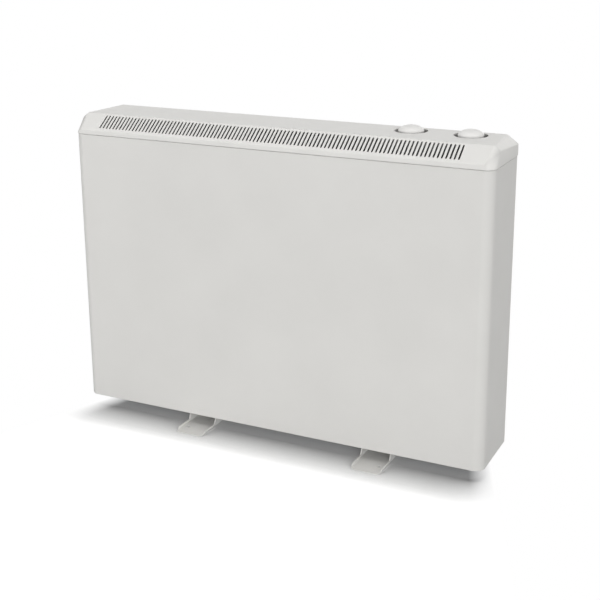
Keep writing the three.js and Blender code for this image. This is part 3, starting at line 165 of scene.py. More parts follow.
def settle(piece: Piece) -> None:
    """Puts a piece's place, turn and scale into its mesh."""
    take(piece)
    bpy.ops.object.transform_apply(location=True, rotation=True, scale=True)


def extrude(run: Spot) -> None:
    """Extrudes what is selected along a run."""
    bpy.ops.mesh.extrude_region_move(TRANSFORM_OT_translate={"value": run})


def modify(piece: Piece, kind: str, **settings: object) -> bpy.types.Modifier:
    """Gives a piece a modifier.

    Args:
        piece: The piece that gets it.
        kind: The modifier's type.
        settings: Its properties.

    Returns:
        The modifier.
    """
    change = piece.modifiers.new(kind.lower(), kind)
    for name, value in settings.items():
        setattr(change, name, value)
    return change


def apply(piece: Piece, kind: str, **settings: object) -> None:
    """Gives a piece a modifier, as modify does, and applies it."""
    change = modify(piece, kind, **settings)
    take(piece)
    bpy.ops.object.modifier_apply(modifier=change.name)


def block(name: str, low: Spot, high: Spot) -> Piece:
    """Adds a box with its object at the origin.

    Args:
        name: The box's name.
        low: Its lowest corner.
        high: Its highest corner.

    Returns:
        The box.
    """
    bpy.ops.object.select_all(action="DESELECT")
    size = Vector(high) - Vector(low)
    bpy.ops.mesh.primitive_cube_add(size=1, location=Vector(low) + size / 2)
    piece = named(name)
    piece.scale = size
    settle(piece)
    return piece


def chain(name: str, points: Sequence[Vector]) -> Piece:
    """Draws a line of edges by extruding one corner from point to point.

    Args:
        name: The line's name.
        points: Where it goes.

    Returns:
        The line.
    """
    bpy.ops.object.select_all(action="DESELECT")
    bpy.ops.mesh.primitive_plane_add(size=MM, location=points[0])
    piece = named(name)
    settle(piece)
    with editing(piece, everything=True):
        bpy.ops.mesh.merge(type="CENTER")
        bpy.ops.mesh.select_mode(type="VERT")
        bpy.ops.mesh.select_all(action="SELECT")
        for start, end in zip(points, points[1:]):
            extrude(Vector(end) - Vector(start))
    return piece


def clean(piece: Piece) -> None:
    """Merges doubled corners and turns all faces outwards."""
    with editing(piece, everything=True):
        bpy.ops.mesh.remove_doubles(threshold=MERGE)
        bpy.ops.mesh.dissolve_degenerate(threshold=MERGE / 4)
        bpy.ops.mesh.select_all(action="SELECT")
        bpy.ops.mesh.normals_make_consistent(inside=False)


def prism(name: str, outline: Sequence[Vector], run: Spot) -> Piece:
    """Draws a closed outline, fills it and extrudes it.

    Args:
        name: The piece's name.
        outline: The outline's points.
        run: How far and which way it is extruded.

    Returns:
        The closed piece.
    """
    piece = chain(name, outline)
    with editing(piece, everything=True):
        bpy.ops.mesh.edge_face_add()
        extrude(run)
    clean(piece)
    return piece


def spun(name: str, profile: Sequence[Pair], centre: Spot, steps: int = HOLE_STEPS) -> Piece:
    """Spins a profile about an upright axis.

    Args:
        name: The piece's name.
        profile: Radius and height of each point; it ends on the axis or closes on itself.
        centre: A point on the axis; heights are measured from it.
        steps: Sides of the round.

    Returns:
        The closed piece.
    """
    origin = Vector(centre)
    piece = chain(name, [origin + Vector((radius, 0, height)) for radius, height in profile])
    with editing(piece, everything=True):
        bpy.ops.mesh.spin(steps=steps, angle=math.tau, center=origin, axis=(0, 0, 1))
    clean(piece)
    return piece


def peg(radius: float, foot: float, top: float, centre: Spot, steps: int = HOLE_STEPS) -> Piece:
    """A round upright tool that cuts a hole, between two heights from a point on its axis."""
    return spun("hole", [(0, foot), (radius, foot), (radius, top), (0, top)], centre, steps)


def arc(centre: Pair, radius: float, start: float, end: float, steps: int) -> list[Pair]:
    """Points on an arc about a centre, from one angle to another, in degrees."""
    turns = [math.radians(start + (end - start) * i / steps) for i in range(steps + 1)]
    return [
        (centre[0] + radius * math.cos(turn), centre[1] + radius * math.sin(turn)) for turn in turns
    ]


def soften(corners: Sequence[tuple[float, float, float]], steps: int = 5) -> list[Pair]:
    """Rounds the corners of a closed outline.

    Args:
        corners: Both coordinates of each corner, and its radius; 0 keeps it sharp.
        steps: Steps of each round.

    Returns:
        The outline's points.
    """
    points: list[Pair] = []
    for i, (u, v, radius) in enumerate(corners):
        corner = Vector((u, v))
        if radius == 0:
            points.append((u, v))
            continue
        before = (Vector(corners[i - 1][:2]) - corner).normalized()
        after = (Vector(corners[(i + 1) % len(corners)][:2]) - corner).normalized()
        half = before.angle(after) / 2
        centre = corner + (before + after).normalized() * (radius / math.sin(half))
        start = corner + before * (radius / math.tan(half)) - centre
        sweep = start.angle_signed(corner + after * (radius / math.tan(half)) - centre)
        for step in range(steps + 1):
            points.append(tuple(centre + Matrix.Rotation(-sweep * step / steps, 2) @ start))
    return points


def bevel(piece: Piece, test: Callable[..., bool], width: float, steps: int) -> None:
    """Rounds the edges that pass a test.

    Args:
        piece: The piece to round.
        test: Gets an edge and says whether it is wanted.
        width: How far the round reaches from the edge.
        steps: Steps of the round.
    """
    with editing(piece):
        if choose(piece, Part.EDGE, test):
            bpy.ops.mesh.bevel(offset=width, offset_type="OFFSET", segments=steps, affect="EDGES")


def combine(piece: Piece, tool: Piece, how: Join) -> None:
    """Cuts a piece by a tool, or joins the two, and deletes the tool."""
    apply(piece, "BOOLEAN", operation=how.value, solver="EXACT", object=tool)
    bpy.data.objects.remove(tool, do_unlink=True)


def copy_of(piece: Piece, name: str, shift: Spot) -> Piece:
    """Copies a piece with a mesh of its own, and moves the copy.

    Args:
        piece: The piece to copy.
        name: The copy's name.
        shift: How far the copy moves.

    Returns:
        The copy.
    """
    take(piece)
    bpy.ops.object.duplicate(linked=False)
    twin = named(name)
    bpy.ops.transform.translate(value=shift)
    settle(twin)
    return twin


def rounded_box(name: str, low: Spot, high: Spot, radius: float, steps: int) -> Piece:
    """Adds a box whose two upright edges at the front are rounded.

    Args:
        name: The box's name.
        low: Its lowest corner.
        high: Its highest corner.
        radius: Radius of the rounds.
        steps: Steps of each round.

    Returns:
        The box.
    """
    piece = block(name, low, high)
    bevel(piece, lambda edge: is_upright(edge) and middle(edge).y < low[1] + LAP, radius, steps)
    return piece


# ---- Finishes ----


def linear(hex_colour: str) -> tuple[float, float, float, float]:
    """Turns an sRGB hex colour, such as #d8d7d4, to linear red, green, blue and alpha."""
    parts = [int(hex_colour[i : i + 2], 16) / 255 for i in (1, 3, 5)]
    made = [c / 12.92 if c <= 0.04045 else ((c + 0.055) / 1.055) ** 2.4 for c in parts]
    return (*made, 1.0)


def per_metre(millimetres: float) -> float:
    """The texture scale at which a pattern repeats about once in a length."""
    return 1000 / millimetres


@dataclass(frozen=True)
class Cloud:
    """Cloudy noise: the distance between its lumps, and how many octaves of detail it has."""

    pitch_mm: float
    detail: float


@dataclass(frozen=True)
class Surface:
    """The sockets that a finish's pattern gives; None leaves the shader's own value."""

    colour: Socket | None = None
    roughness: Socket | None = None
    height: Socket | None = None


@dataclass
class Drawing:
    """The nodes of a material or of the world, while they are drawn."""

    owner: bpy.types.Material | bpy.types.World
    tree: bpy.types.NodeTree = field(init=False)

    def __post_init__(self) -> None:
        """Empties the owner's node tree."""
        self.owner.use_nodes = True
        self.tree = self.owner.node_tree
        self.tree.nodes.clear()

    @cached_property
    def place(self) -> Socket:
        """The piece's own coordinates, in metres."""
        return self.add("TexCoord", out="Object")

    def add(
        self,
        kind: str,
        inputs: dict[str | int, object] | None = None,
        out: str | int = 0,
        **settings: object,
    ) -> Socket | None:
        """Adds a node with its settings and links.

        Args:
            kind: The node's type, without the ShaderNode that each type starts with.
            inputs: Input name or number, with the socket to link or the value to set.
            out: Name or number of the output that is wanted.
            settings: Properties of the node.

        Returns:
            The wanted output, or None from a node that has no outputs.
        """
        made = self.tree.nodes.new(f"ShaderNode{kind}")
        for name, value in settings.items():
            setattr(made, name, value)
        for name, value in (inputs or {}).items():
            if isinstance(value, Socket):
                self.tree.links.new(value, made.inputs[name])
            else:
                made.inputs[name].default_value = value
        return made.outputs[out] if made.outputs else None

    def clouds(self, cloud: Cloud, spread: Pair | None = None, at: Socket | None = None) -> Socket:
        """Draws cloudy noise.

        Args:
            cloud: Its size and detail.
            spread: The range that its middle tones are spread over; None leaves them.
            at: Where it is drawn; None is the piece's own coordinates.

        Returns:
            The noise's socket.
        """
        scale = per_metre(cloud.pitch_mm)
        inputs = {"Vector": at or self.place, "Scale": scale, "Detail": cloud.detail}
        noise = self.add("TexNoise", inputs)
        if spread is None:
            return noise
        ends = {"From Min": 0.3, "From Max": 0.7, "To Min": spread[0], "To Max": spread[1]}
        return self.add("MapRange", {"Value": noise, **ends})


@dataclass(frozen=True)
class Finish:
    """A finish: its names, its plain values, and the clouds in its tone, gloss and relief."""

    name: str
    slot: str
    colour: str
    second: str
    roughness: float
    metallic: float = 0.0
    ior: float = 1.5
    bump_mm: float = 0.05
    tone: Cloud | None = None
    gloss: Cloud | None = None
    gloss_play: float = 0.0
    relief: Cloud | None = None

    def mixed(self, draw: Drawing, share: Socket) -> Socket:
        """Mixes the finish's two colours by a 0 to 1 pattern."""
        tones = {MIX_FIRST: linear(self.colour), MIX_SECOND: linear(self.second)}
        return draw.add("Mix", {"Factor": share, **tones}, MIX_RESULT, data_type="RGBA")

    @property
    def gloss_range(self) -> Pair:
        """The lowest and the highest roughness."""
        return self.roughness - self.gloss_play, self.roughness + self.gloss_play

    def pattern(self, draw: Drawing) -> Surface:
        """Draws the finish's clouds, which a finish with a pattern of its own adds to.

        Args:
            draw: The material's nodes.

        Returns:
            The sockets for colour, roughness and height.
        """
        return Surface(
            self.mixed(draw, draw.clouds(self.tone, (0, 1))) if self.tone else None,
            draw.clouds(self.gloss, self.gloss_range) if self.gloss else None,
            draw.clouds(self.relief) if self.relief else None,
        )

    def material(self) -> bpy.types.Material:
        """Makes the material, once for each finish."""
        found = bpy.data.materials.get(self.name)
        if found:
            return found
        draw = Drawing(bpy.data.materials.new(self.name))
        plain = {
            "Base Color": linear(self.colour),
            "Roughness": self.roughness,
            "Metallic": self.metallic,
        }
        if self.metallic == 0:
            plain["IOR"] = self.ior
        shader = draw.add("BsdfPrincipled", plain)
        surface = self.pattern(draw)
        bump = {"Strength": 1.0, "Distance": self.bump_mm * MM, "Height": surface.height}
        linked = {
            "Base Color": surface.colour,
            "Roughness": surface.roughness,
            "Normal": draw.add("Bump", bump),
        }
        for name, socket in linked.items():
            if socket:
                draw.tree.links.new(socket, shader.node.inputs[name])
        draw.add("OutputMaterial", {"Surface": shader})
        return draw.owner


@dataclass(frozen=True)
class StovedPaint(Finish):
    """Powder paint baked on steel: even colour, satin gloss and a fine orange peel.

    The peel is drawn a little coarser than the real 1 mm, so that it shows.
    """

    tone: Cloud = Cloud(160, 3)
    gloss: Cloud = Cloud(45, 4)
    gloss_play: float = 0.03
    relief: Cloud = Cloud(2.4, 2)


@dataclass(frozen=True)
class SparkTexture(Finish):
    """Injection-moulded plastic from a spark-eroded tool: a fine matt grain, even colour, and painted
    shade in narrow gaps.
    """

    tone: Cloud = Cloud(70, 3)
    gloss: Cloud = Cloud(12, 3)
    gloss_play: float = 0.04
    grain_mm: float = 0.9
    # How far the painted gap shade reaches, how dark it gets, and over which occlusion it fades.
    gap_shade_reach_mm: float = 11.0
    painted_gap_shade: float = 0.12
    gap_open: Pair = (0.3, 0.7)

    def pattern(self, draw: Drawing) -> Surface:
        """Adds a grain of small round pits, and painted shade that darkens the colour inside narrow
        gaps.
        """
        clouds = super().pattern(draw)
        grain = {"Vector": draw.place, "Scale": per_metre(self.grain_mm)}
        pits = draw.add("TexVoronoi", grain, "Distance", feature="SMOOTH_F1")
        # Painted shade: ambient occlusion darkens the colour in slots, knob recesses and gaps, where
        # shade falls.
        near = draw.add("AmbientOcclusion", {"Distance": self.gap_shade_reach_mm * MM}, "AO", samples=8)
        shut, clear = self.gap_open
        ends = {"From Min": shut, "From Max": clear, "To Min": self.painted_gap_shade, "To Max": 1.0}
        share = draw.add("MapRange", {"Value": near, **ends})
        shaded_in_gaps = draw.add("VectorMath", {0: clouds.colour, "Scale": share}, operation="SCALE")
        return replace(clouds, colour=shaded_in_gaps, height=pits)


@dataclass(frozen=True)
class Spangle(Finish):
    """Hot-dip galvanised sheet: zinc crystals about a centimetre wide, each with its own shine."""

    gloss_play: float = 0.12
    crystal_mm: float = 11.0
    feather_mm: float = 9.0
    feather_reach_mm: float = 4.0

    def pattern(self, draw: Drawing) -> Surface:
        """Crystals with a tone each, their edges feathered by a finer noise."""
        noise = {"Vector": draw.place, "Scale": per_metre(self.feather_mm), "Detail": 3.0}
        warp = draw.add("TexNoise", noise, "Color")
        reach = self.feather_reach_mm * MM
        shift = draw.add("VectorMath", {0: warp, "Scale": reach}, operation="SCALE")
        moved = draw.add("VectorMath", {0: draw.place, 1: shift}, operation="ADD")
        crystal = {"Vector": moved, "Scale": per_metre(self.crystal_mm)}
        cells = draw.add("TexVoronoi", crystal, "Color")
        tone = draw.add("SeparateColor", {"Color": cells}, "Red")
        dullest, brightest = self.gloss_range
        ends = {"To Min": dullest, "To Max": brightest}
        rough = draw.add("MapRange", {"Value": tone.node.outputs["Green"], **ends})
        return Surface(self.mixed(draw, tone), rough, cells.node.outputs["Distance"])


@dataclass(frozen=True)
class BrightZinc(Finish):
    """Electroplated zinc on small steel parts: smooth, with a faint warm and cool bloom."""

    tone: Cloud = Cloud(6, 3)
    gloss: Cloud = Cloud(1.5, 4)
    gloss_play: float = 0.08
    relief: Cloud = Cloud(0.8, 2)


@dataclass(frozen=True)
class PressedMagnetite(Finish):
    """Storage brick, pressed and fired magnetite: dark, gritty, with rusty and grey grains."""

    relief: Cloud = Cloud(1.3, 6)
    firing: Cloud = Cloud(60, 4)
    grit_mm: float = 2.2

    def pattern(self, draw: Drawing) -> Surface:
        """Adds grains of two tones over a cloudy firing colour."""
        pores = super().pattern(draw)
        grit = {"Vector": draw.place, "Scale": per_metre(self.grit_mm)}
        grain = draw.add("SeparateColor", {"Color": draw.add("TexVoronoi", grit, "Color")}, "Red")
        firing = draw.clouds(self.firing)
        share = draw.add("Math", {0: grain, 1: firing}, operation="MULTIPLY")
        return replace(pores, colour=self.mixed(draw, share))


@dataclass(frozen=True)
class FibreBoard(Finish):
    """Calcium silicate insulation board: chalky, blotchy, with short fibres along the board."""

    tone: Cloud = Cloud(35, 5)
    fibres: Cloud = Cloud(1.6, 4)
    stretch: tuple[float, float, float] = (0.25, 1.0, 1.0)

    def pattern(self, draw: Drawing) -> Surface:
        """Adds the fibres, stretched along X."""
        lain = draw.add("Mapping", {"Vector": draw.place, "Scale": self.stretch})
        return replace(super().pattern(draw), height=draw.clouds(self.fibres, at=lain))


@dataclass(frozen=True)
class HeatedAlloy(Finish):
    """Nickel-alloy element sheath after heating: dull oxide in brown and blue-grey clouds."""

    tone: Cloud = Cloud(28, 4)
    gloss: Cloud = Cloud(3, 3)
    gloss_play: float = 0.1
    relief: Cloud = Cloud(0.9, 3)


@dataclass(frozen=True)
class TurnedBrass(Finish):
    """Brass bar from the lathe: warm and a little tarnished, with fine rings along its length."""

    tone: Cloud = Cloud(7, 4)
    ring_mm: float = 1.508

    def pattern(self, draw: Drawing) -> Surface:
        """Adds the tool's rings, drawn coarser than the real ones so that they show."""
        scale = per_metre(self.ring_mm) * math.tau / WAVE_RATE
        rings = {"Vector": draw.place, "Scale": scale, "Distortion": 0.3}
        height = draw.add("TexWave", rings, "Fac", bands_direction="Z")
        return replace(super().pattern(draw), height=height)


@dataclass(frozen=True)
class PlainMoulding(Finish):
    """A moulded or extruded plastic or rubber part: close tones, slight flow and a fine skin."""

    tone: Cloud = Cloud(9, 4)
    gloss: Cloud = Cloud(4.5, 3)
    gloss_play: float = 0.06
    relief: Cloud = Cloud(0.7, 2)


ENAMEL = StovedPaint(
    "stoved_powder_enamel", "stoved_enamel", "#dad9d6", "#d6d5d2", 0.42, bump_mm=0.02
)
COVER_ABS = SparkTexture(
    "spark_textured_cover_plastic", "cover_moulding", "#dddcd9", "#dad9d6", 0.48, bump_mm=0.03
)
KNOB_ABS = SparkTexture(
    "satin_knob_plastic", "cover_moulding", "#e2e1df", "#dfdedb", 0.4, bump_mm=0.012
)
GALVANISED = Spangle(
    "galvanised_sheet_steel", "galvanised_sheet", "#bdc1c3", "#adb1b3", 0.45, 1.0, bump_mm=0.03
)
DULLED = Spangle(
    "heat_dulled_galvanised_sheet", "galvanised_sheet", "#5e6062", "#55575a", 0.6, 1.0, bump_mm=0.03
)
ZINC = BrightZinc("bright_zinc_plate", "zinc_plate", "#c9cccc", "#b8b7ae", 0.3, 1.0, bump_mm=0.01)
BRICK = PressedMagnetite(
    "fired_magnetite_brick", "storage_brick", "#3d3532", "#6a5348", 0.92, bump_mm=0.5
)
BOARD = FibreBoard(
    "calcium_silicate_board", "insulation_board", "#d3cab8", "#c4b9a3", 0.95, bump_mm=0.25
)
SHEATH = HeatedAlloy(
    "oxidised_nickel_alloy", "element_sheath", "#5d5a55", "#4a5058", 0.5, 1.0, bump_mm=0.03
)
ACETAL = PlainMoulding(
    "natural_acetal", "acetal", "#d9d6cc", "#d1cdc1", 0.35, ior=1.48, bump_mm=0.01
)
BRASS = TurnedBrass("turned_brass_bar", "brass_bar", "#c29a52", "#a5803f", 0.3, 1.0, bump_mm=0.01)
PHENOLIC = PlainMoulding(
    "brown_phenolic", "phenolic", "#2b2420", "#372c26", 0.45, ior=1.6, bump_mm=0.02
)
NYLON = PlainMoulding(
    "natural_nylon", "nylon_block", "#d8d3c8", "#cfc9bc", 0.42, ior=1.53, bump_mm=0.02
)
RUBBER = PlainMoulding(
    "black_gland_rubber", "gland_rubber", "#1d1d1e", "#2a2a2a", 0.7, ior=1.52, bump_mm=0.03
)
BROWN_PVC = PlainMoulding(
    "brown_wire_sleeve", "brown_wire", "#7a4a2c", "#6d4126", 0.5, ior=1.53, bump_mm=0.02
)
BLUE_PVC = PlainMoulding(
    "blue_wire_sleeve", "blue_wire", "#2c4f86", "#274878", 0.5, ior=1.53, bump_mm=0.02
)


def complete(piece: Piece, finish: Finish, body: str, *nodes: str, degrees: float = 30) -> None:
    """Shades a piece, gives it its material, and puts it on its body.

    Args:
        piece: The finished mesh.
        finish: What it is made of.
        body: The body that it rides on.
        nodes: The nodes that it stands for.
        degrees: Up to which angle its edges look smooth.
    """
    take(piece)
    bpy.ops.object.shade_smooth_by_angle(angle=math.radians(degrees))
    apply(piece, "WEIGHTED_NORMAL", keep_sharp=True)
    piece.data.materials.clear()
    piece.data.materials.append(finish.material())
    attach(piece, body)
    if nodes:
        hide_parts(*nodes)
    log.info("%s: %d faces, on %s", piece.name, len(piece.data.polygons), body)


# ---- Casing ----


@dataclass
class Casing:
    """Front and sides bent from one sheet, with turned-in edges, and the flat back panel."""

    corner: float = 23 * MM
    sheet: float = 1 * MM
    flange: float = 12 * MM
    fold: float = 1.6 * MM
    fold_angle: float = 60
    corner_steps: int = 14
    fold_steps: int = 4
    shading_angle: float = 35
    screw_hole: float = 2.3 * MM
    screw_hole_steps: int = 24
    wall_hole: float = 4.5 * MM
    wall_hole_inset: float = 97.7 * MM
    wall_hole_drop: float = 31.5 * MM
    back_edge: float = 0.3 * MM
    back_flange_play: float = 0.3 * MM
    back_flange_margin: float = 8 * MM
    back_flange_foot: float = 30.3 * MM
    screws_a_side: int = 3
    screw_inset: float = 8 * MM
    screw_radius: float = 3.6 * MM
    screw_play: float = 0.15 * MM
    screw_edge: float = 0.2 * MM
    screw_sink: float = 0.1 * MM
    cone_share: float = 0.62
    head_share: float = 0.95
    shank_share: float = 0.5
    shank_ends: Pair = (-5 * MM, -6 * MM)
    slot_share: float = 0.55
    slot_half: float = 0.35 * MM
    slot_depth: float = 0.6 * MM

    def build(self) -> None:
        """Builds and dresses the casing's pieces."""
        self.wrapper()
        self.back_panel()

    def wrapper(self) -> None:
        """The painted wrapper, with rounded folds all round its edges."""
        low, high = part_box("front_casing")
        piece = rounded_box("casing_wrapper", low, high, self.corner, self.corner_steps)
        bevel(piece, self.is_fold, self.fold, self.fold_steps)
        sheet = Vector((self.sheet,) * 3)
        radius = self.corner - self.sheet
        inside = rounded_box("inside", low + sheet, high - sheet, radius, self.corner_steps)
        bevel(inside, self.is_fold, self.fold - self.sheet, self.fold_steps // 2)
        combine(piece, inside, Join.CUT)
        reach = self.sheet + self.flange
        mouth = rounded_box(
            "mouth",
            (low.x + reach, low.y + reach, low.z - LAP),
            (high.x - reach, high.y + LAP, high.z + LAP),
            self.corner - reach,
            self.corner_steps // 2,
        )
        combine(piece, mouth, Join.CUT)
        for node in ("casing_screw_left", "casing_screw_right"):
            axis = heart(node)
            centre = (axis.x, axis.y, low.z)
            hole = peg(self.screw_hole, -LAP, 2 * LAP, centre, self.screw_hole_steps)
            combine(piece, hole, Join.CUT)
        complete(piece, ENAMEL, BODY, "front_casing", degrees=self.shading_angle)

    def is_fold(self, edge: Edge) -> bool:
        """Whether an edge is one where the sheet is folded."""
        return is_sharp(edge, self.fold_angle)

    def back_panel(self) -> None:
        """The galvanised back, with side flanges, wall holes and sunk fixing screws."""
        low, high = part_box("back_panel")
        sheet_front = high.y - self.sheet
        piece = block("back_panel_sheet", (low.x, sheet_front, low.z), high)
        bevel(piece, lambda edge: middle(edge).y > high.y - MERGE, self.back_edge, 2)
        reach = abs(low.x + self.flange + self.back_flange_play)
        for side in (-1, 1):
            near, far = sorted((side * reach, side * (reach - self.sheet)))
            flange = block(
                "flange",
                (near, low.y, low.z + self.back_flange_foot),
                (far, sheet_front + self.sheet / 2, high.z - self.back_flange_margin),
            )
            combine(piece, flange, Join.ADD)
        wall_x = high.x - self.wall_hole_inset
        for x in (-wall_x, wall_x):
            self.pierce(piece, x, high.z - self.wall_hole_drop, self.wall_hole)
        places = self.screw_places(low, high)
        for x, z in places:
            self.pierce(piece, x, z, self.screw_radius, self.cone_share)
        complete(piece, GALVANISED, BODY, "back_panel")
        self.sunk_screws(places, high.y)

    def screw_places(self, low: Vector, high: Vector) -> list[Pair]:
        """Where the sunk screws stand: up both sides of the back.

        Args:
            low: Lowest corner of the back.
            high: Highest corner of the back.

        Returns:
            X and Z of each screw.
        """
        x = high.x - self.screw_inset + self.sheet
        run = high.z - low.z - 4 * self.screw_inset
        steps = self.screws_a_side - 1
        heights = [low.z + 2 * self.screw_inset + run * i / steps for i in range(steps + 1)]
        return [(side * x, z) for side in (-1, 1) for z in heights]

    def pierce(self, piece: Piece, x: float, z: float, radius: float, taper: float = 1.0) -> None:
        """Cuts one hole in the back.

        Args:
            piece: The back.
            x: The hole's place across.
            z: Its height.
            radius: Its radius at the outside.
            taper: Its radius at the inside, as a share of that.
        """
        small, deep = radius * taper, -2 * self.sheet
        profile = [
            (0, deep), (small, deep), (small, -self.sheet), (radius, 0), (radius, LAP), (0, LAP)
        ]
        tool = spun("hole", profile, (0, 0, 0))
        self.face_back(tool, Matrix.Translation((x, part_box("back_panel")[1].y, z)))
        combine(piece, tool, Join.CUT)

    def face_back(self, piece: Piece, place: Matrix) -> None:
        """Turns a piece whose outside looks up so that it looks back, and moves it."""
        piece.matrix_world = place @ Matrix.Rotation(math.radians(-90), 4, "X")
        settle(piece)

    def sunk_screws(self, places: Sequence[Pair], back: float) -> None:
        """Adds countersunk cross-slot screws, all but flush with the back.

        Args:
            places: X and Z of each screw.
            back: Y of the back's outside.
        """
        radius = self.screw_radius - self.screw_play
        head = self.sheet * self.head_share
        shank = radius * self.shank_share
        end, point = self.shank_ends
        profile = [
            (0, 0), (radius - self.screw_edge, 0), (radius, -self.screw_play),
            (radius * self.cone_share, -head), (shank, -head), (shank, end), (0, point),
        ]
        first = spun("back_panel_screws", profile, (0, 0, 0))
        arm = radius * self.slot_share
        for turn in (0, 90):
            corner = (-arm, -self.slot_half, -self.slot_depth)
            slot = block("slot", corner, (arm, self.slot_half, LAP))
            slot.rotation_euler = Euler((0, 0, math.radians(turn)))
            settle(slot)
            combine(first, slot, Join.CUT)
        self.face_back(first, Matrix())
        inward = back - self.screw_sink
        copies = [copy_of(first, "screw", (x, inward, z)) for x, z in places[1:]]
        x, z = places[0]
        take(first)
        bpy.ops.transform.translate(value=(x, inward, z))
        settle(first)
        for twin in copies:
            twin.select_set(True)
        bpy.ops.object.join()
        complete(first, ZINC, BODY)


# ---- Top cover ----


@dataclass
class TopCover:
    """The moulded cover: lip, sloped grille, flat top, tapered end chamfers, knob recesses."""

    shadow_gap: float = 1.5 * MM
    wall: float = 2.5 * MM
    corner: float = 23 * MM
    corner_steps: int = 10
    lip: float = 10.2 * MM
    slope_run: float = 44 * MM
    chamfer_run: float = 24 * MM
    chamfer_front_run: float = 13 * MM
    chamfer_drop: float = 18 * MM
    flat_angle: float = 0.5
    edge_angle: float = 16
    edge_round: float = 2.2 * MM
    edge_steps: int = 4
    skirt_inset: float = 2.2 * MM
    skirt_root: float = 4 * MM
    skirt_seat: float = 0.3 * MM
    slot_pitch: float = 8.82 * MM
    slot_width: float = 3.8 * MM
    slot_bottom_margin: float = 8 * MM
    slot_top_margin: float = 5.3 * MM
    slot_flare: float = 0.25 * MM
    slot_end_share: float = 0.96
    slot_end_steps: int = 3
    rib: float = 1.4 * MM
    pocket_margin: float = 3 * MM
    grille_left: float = 67.2 * MM
    grille_right: float = 73.8 * MM
    finger_gap: float = 8 * MM
    recess_depth: float = 15 * MM
    recess_fillet: float = 3 * MM
    cup_steps: int = 5
    recess_steps: int = 6
    rim_round: float = 1 * MM
    rim_steps: int = 5
    spindle_hole: float = 4 * MM
    round_steps: int = 64
    low: Vector = field(init=False)
    high: Vector = field(init=False)

    def __post_init__(self) -> None:
        """Reads the cover's box; its visible rim starts one shadow gap above the casing."""
        self.low, self.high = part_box("top_cover")
        self.low.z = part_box("front_casing")[1].z + self.shadow_gap

    @property
    def slope_rise(self) -> float:
        """Height of the slope above the lip."""
        return self.high.z - self.low.z - self.lip

    @property
    def slope_angle(self) -> float:
        """Angle of the slope above the horizontal."""
        return math.atan2(self.slope_rise, self.slope_run)

    @property
    def slope_length(self) -> float:
        """Length of the slope from the lip to the flat top."""
        return math.hypot(self.slope_rise, self.slope_run)

    def build(self) -> None:
        """Builds and dresses the cover."""
        piece = self.form("top_cover_shell", 0.0)
        bevel(piece, self.is_shown_edge, self.edge_round, self.edge_steps)
        combine(piece, self.form("inside", self.wall), Join.CUT)
        combine(piece, self.skirt(), Join.ADD)
        for tool, how in ((self.cup, Join.ADD), (self.recess, Join.CUT)):
            for knob in ("output_knob", "input_knob"):
                combine(piece, tool(knob), how)
        combine(piece, self.pocket(), Join.CUT)
        combine(piece, self.slots(), Join.CUT)
        complete(piece, COVER_ABS, BODY, "top_cover")

    def is_shown_edge(self, edge: Edge) -> bool:
        """Whether an edge of the outer form stands above the rim, and is sharp."""
        return is_sharp(edge, self.edge_angle) and middle(edge).z > self.low.z + 2 * LAP

    def form(self, name: str, inset: float) -> Piece:
        """The cover's outer form, or its inner one, as a closed hull.

        Args:
            name: The form's name.
            inset: How far it is drawn in; 0 gives the outer form.

        Returns:
            The hull.
        """
        chamfer = math.atan2(self.chamfer_drop, self.chamfer_run)
        slope = self.slope_angle
        slope_shift = inset * (1 / math.cos(slope) - math.tan(slope))
        chamfer_shift = inset * (1 / math.cos(chamfer) - math.tan(chamfer))
        half = self.high.x - inset
        front = self.low.y + inset
        back = self.high.y - inset
        top = self.high.z - inset
        bottom = self.low.z - (self.wall if inset else 0)
        lip_top = self.low.z + self.lip - slope_shift
        top_front = front + (top - lip_top) / math.tan(slope)
        radius = self.corner - inset
        plan = arc((half - radius, front + radius), radius, -90, 0, self.corner_steps)
        points = [Vector((x, y, bottom)) for x, y in plan]
        points.append(Vector((half, back, bottom)))
        points.append(Vector((half - radius, front, lip_top)))
        for y, run in ((top_front, self.chamfer_front_run), (back, self.chamfer_run)):
            side_top = self.high.z - run * math.tan(chamfer) - chamfer_shift
            points.append(Vector((half, y, side_top)))
            points.append(Vector((half - (top - side_top) / math.tan(chamfer), y, top)))
        piece = chain(name, points + [Vector((-p.x, p.y, p.z)) for p in points])
        with editing(piece, everything=True):
            bpy.ops.mesh.convex_hull()
            bpy.ops.mesh.select_all(action="SELECT")
            bpy.ops.mesh.dissolve_limited(angle_limit=math.radians(self.flat_angle))
        clean(piece)
        return piece

    def skirt(self) -> Piece:
        """The rim under the cover that stands on the casing, behind the dark line."""
        bottom = self.low.z - self.shadow_gap + self.skirt_seat
        top = self.low.z + self.skirt_root

        def ring(name: str, inset: float, lap: float) -> Piece:
            """One rounded box, drawn in by an inset and longer by a lap at both ends."""
            low = (self.low.x + inset, self.low.y + inset, bottom - lap)
            high = (self.high.x - inset, self.high.y - inset, top + lap)
            return rounded_box(name, low, high, self.corner - inset, self.corner_steps)

        piece = ring("skirt", self.skirt_inset, 0)
        combine(piece, ring("hollow", self.skirt_inset + self.wall, LAP), Join.CUT)
        return piece

    def on_slope(self, tool: Piece, x: float) -> Piece:
        """Lays a tool on the slope.

        Args:
            tool: Drawn at the origin: Y runs up the slope, Z stands out of it.
            x: The tool's place across.

        Returns:
            The same tool.
        """
        place = Matrix.Translation((x, self.low.y, self.low.z + self.lip))
        tool.matrix_world = place @ Matrix.Rotation(self.slope_angle, 4, "X")
        settle(tool)
        return tool

    def pocket(self) -> Piece:
        """What thins the wall behind the grille down to its ribs."""
        margin = self.pocket_margin
        bottom = self.slot_bottom_margin - margin
        top = self.slope_length - self.slot_top_margin + margin
        tool = block(
            "pocket",
            (self.low.x + self.grille_left - margin, bottom, -self.wall - LAP / 2),
            (self.high.x - self.grille_right + margin, top, -self.rib),
        )
        bevel(tool, is_upright, margin, self.edge_steps)
        return self.on_slope(tool, 0.0)

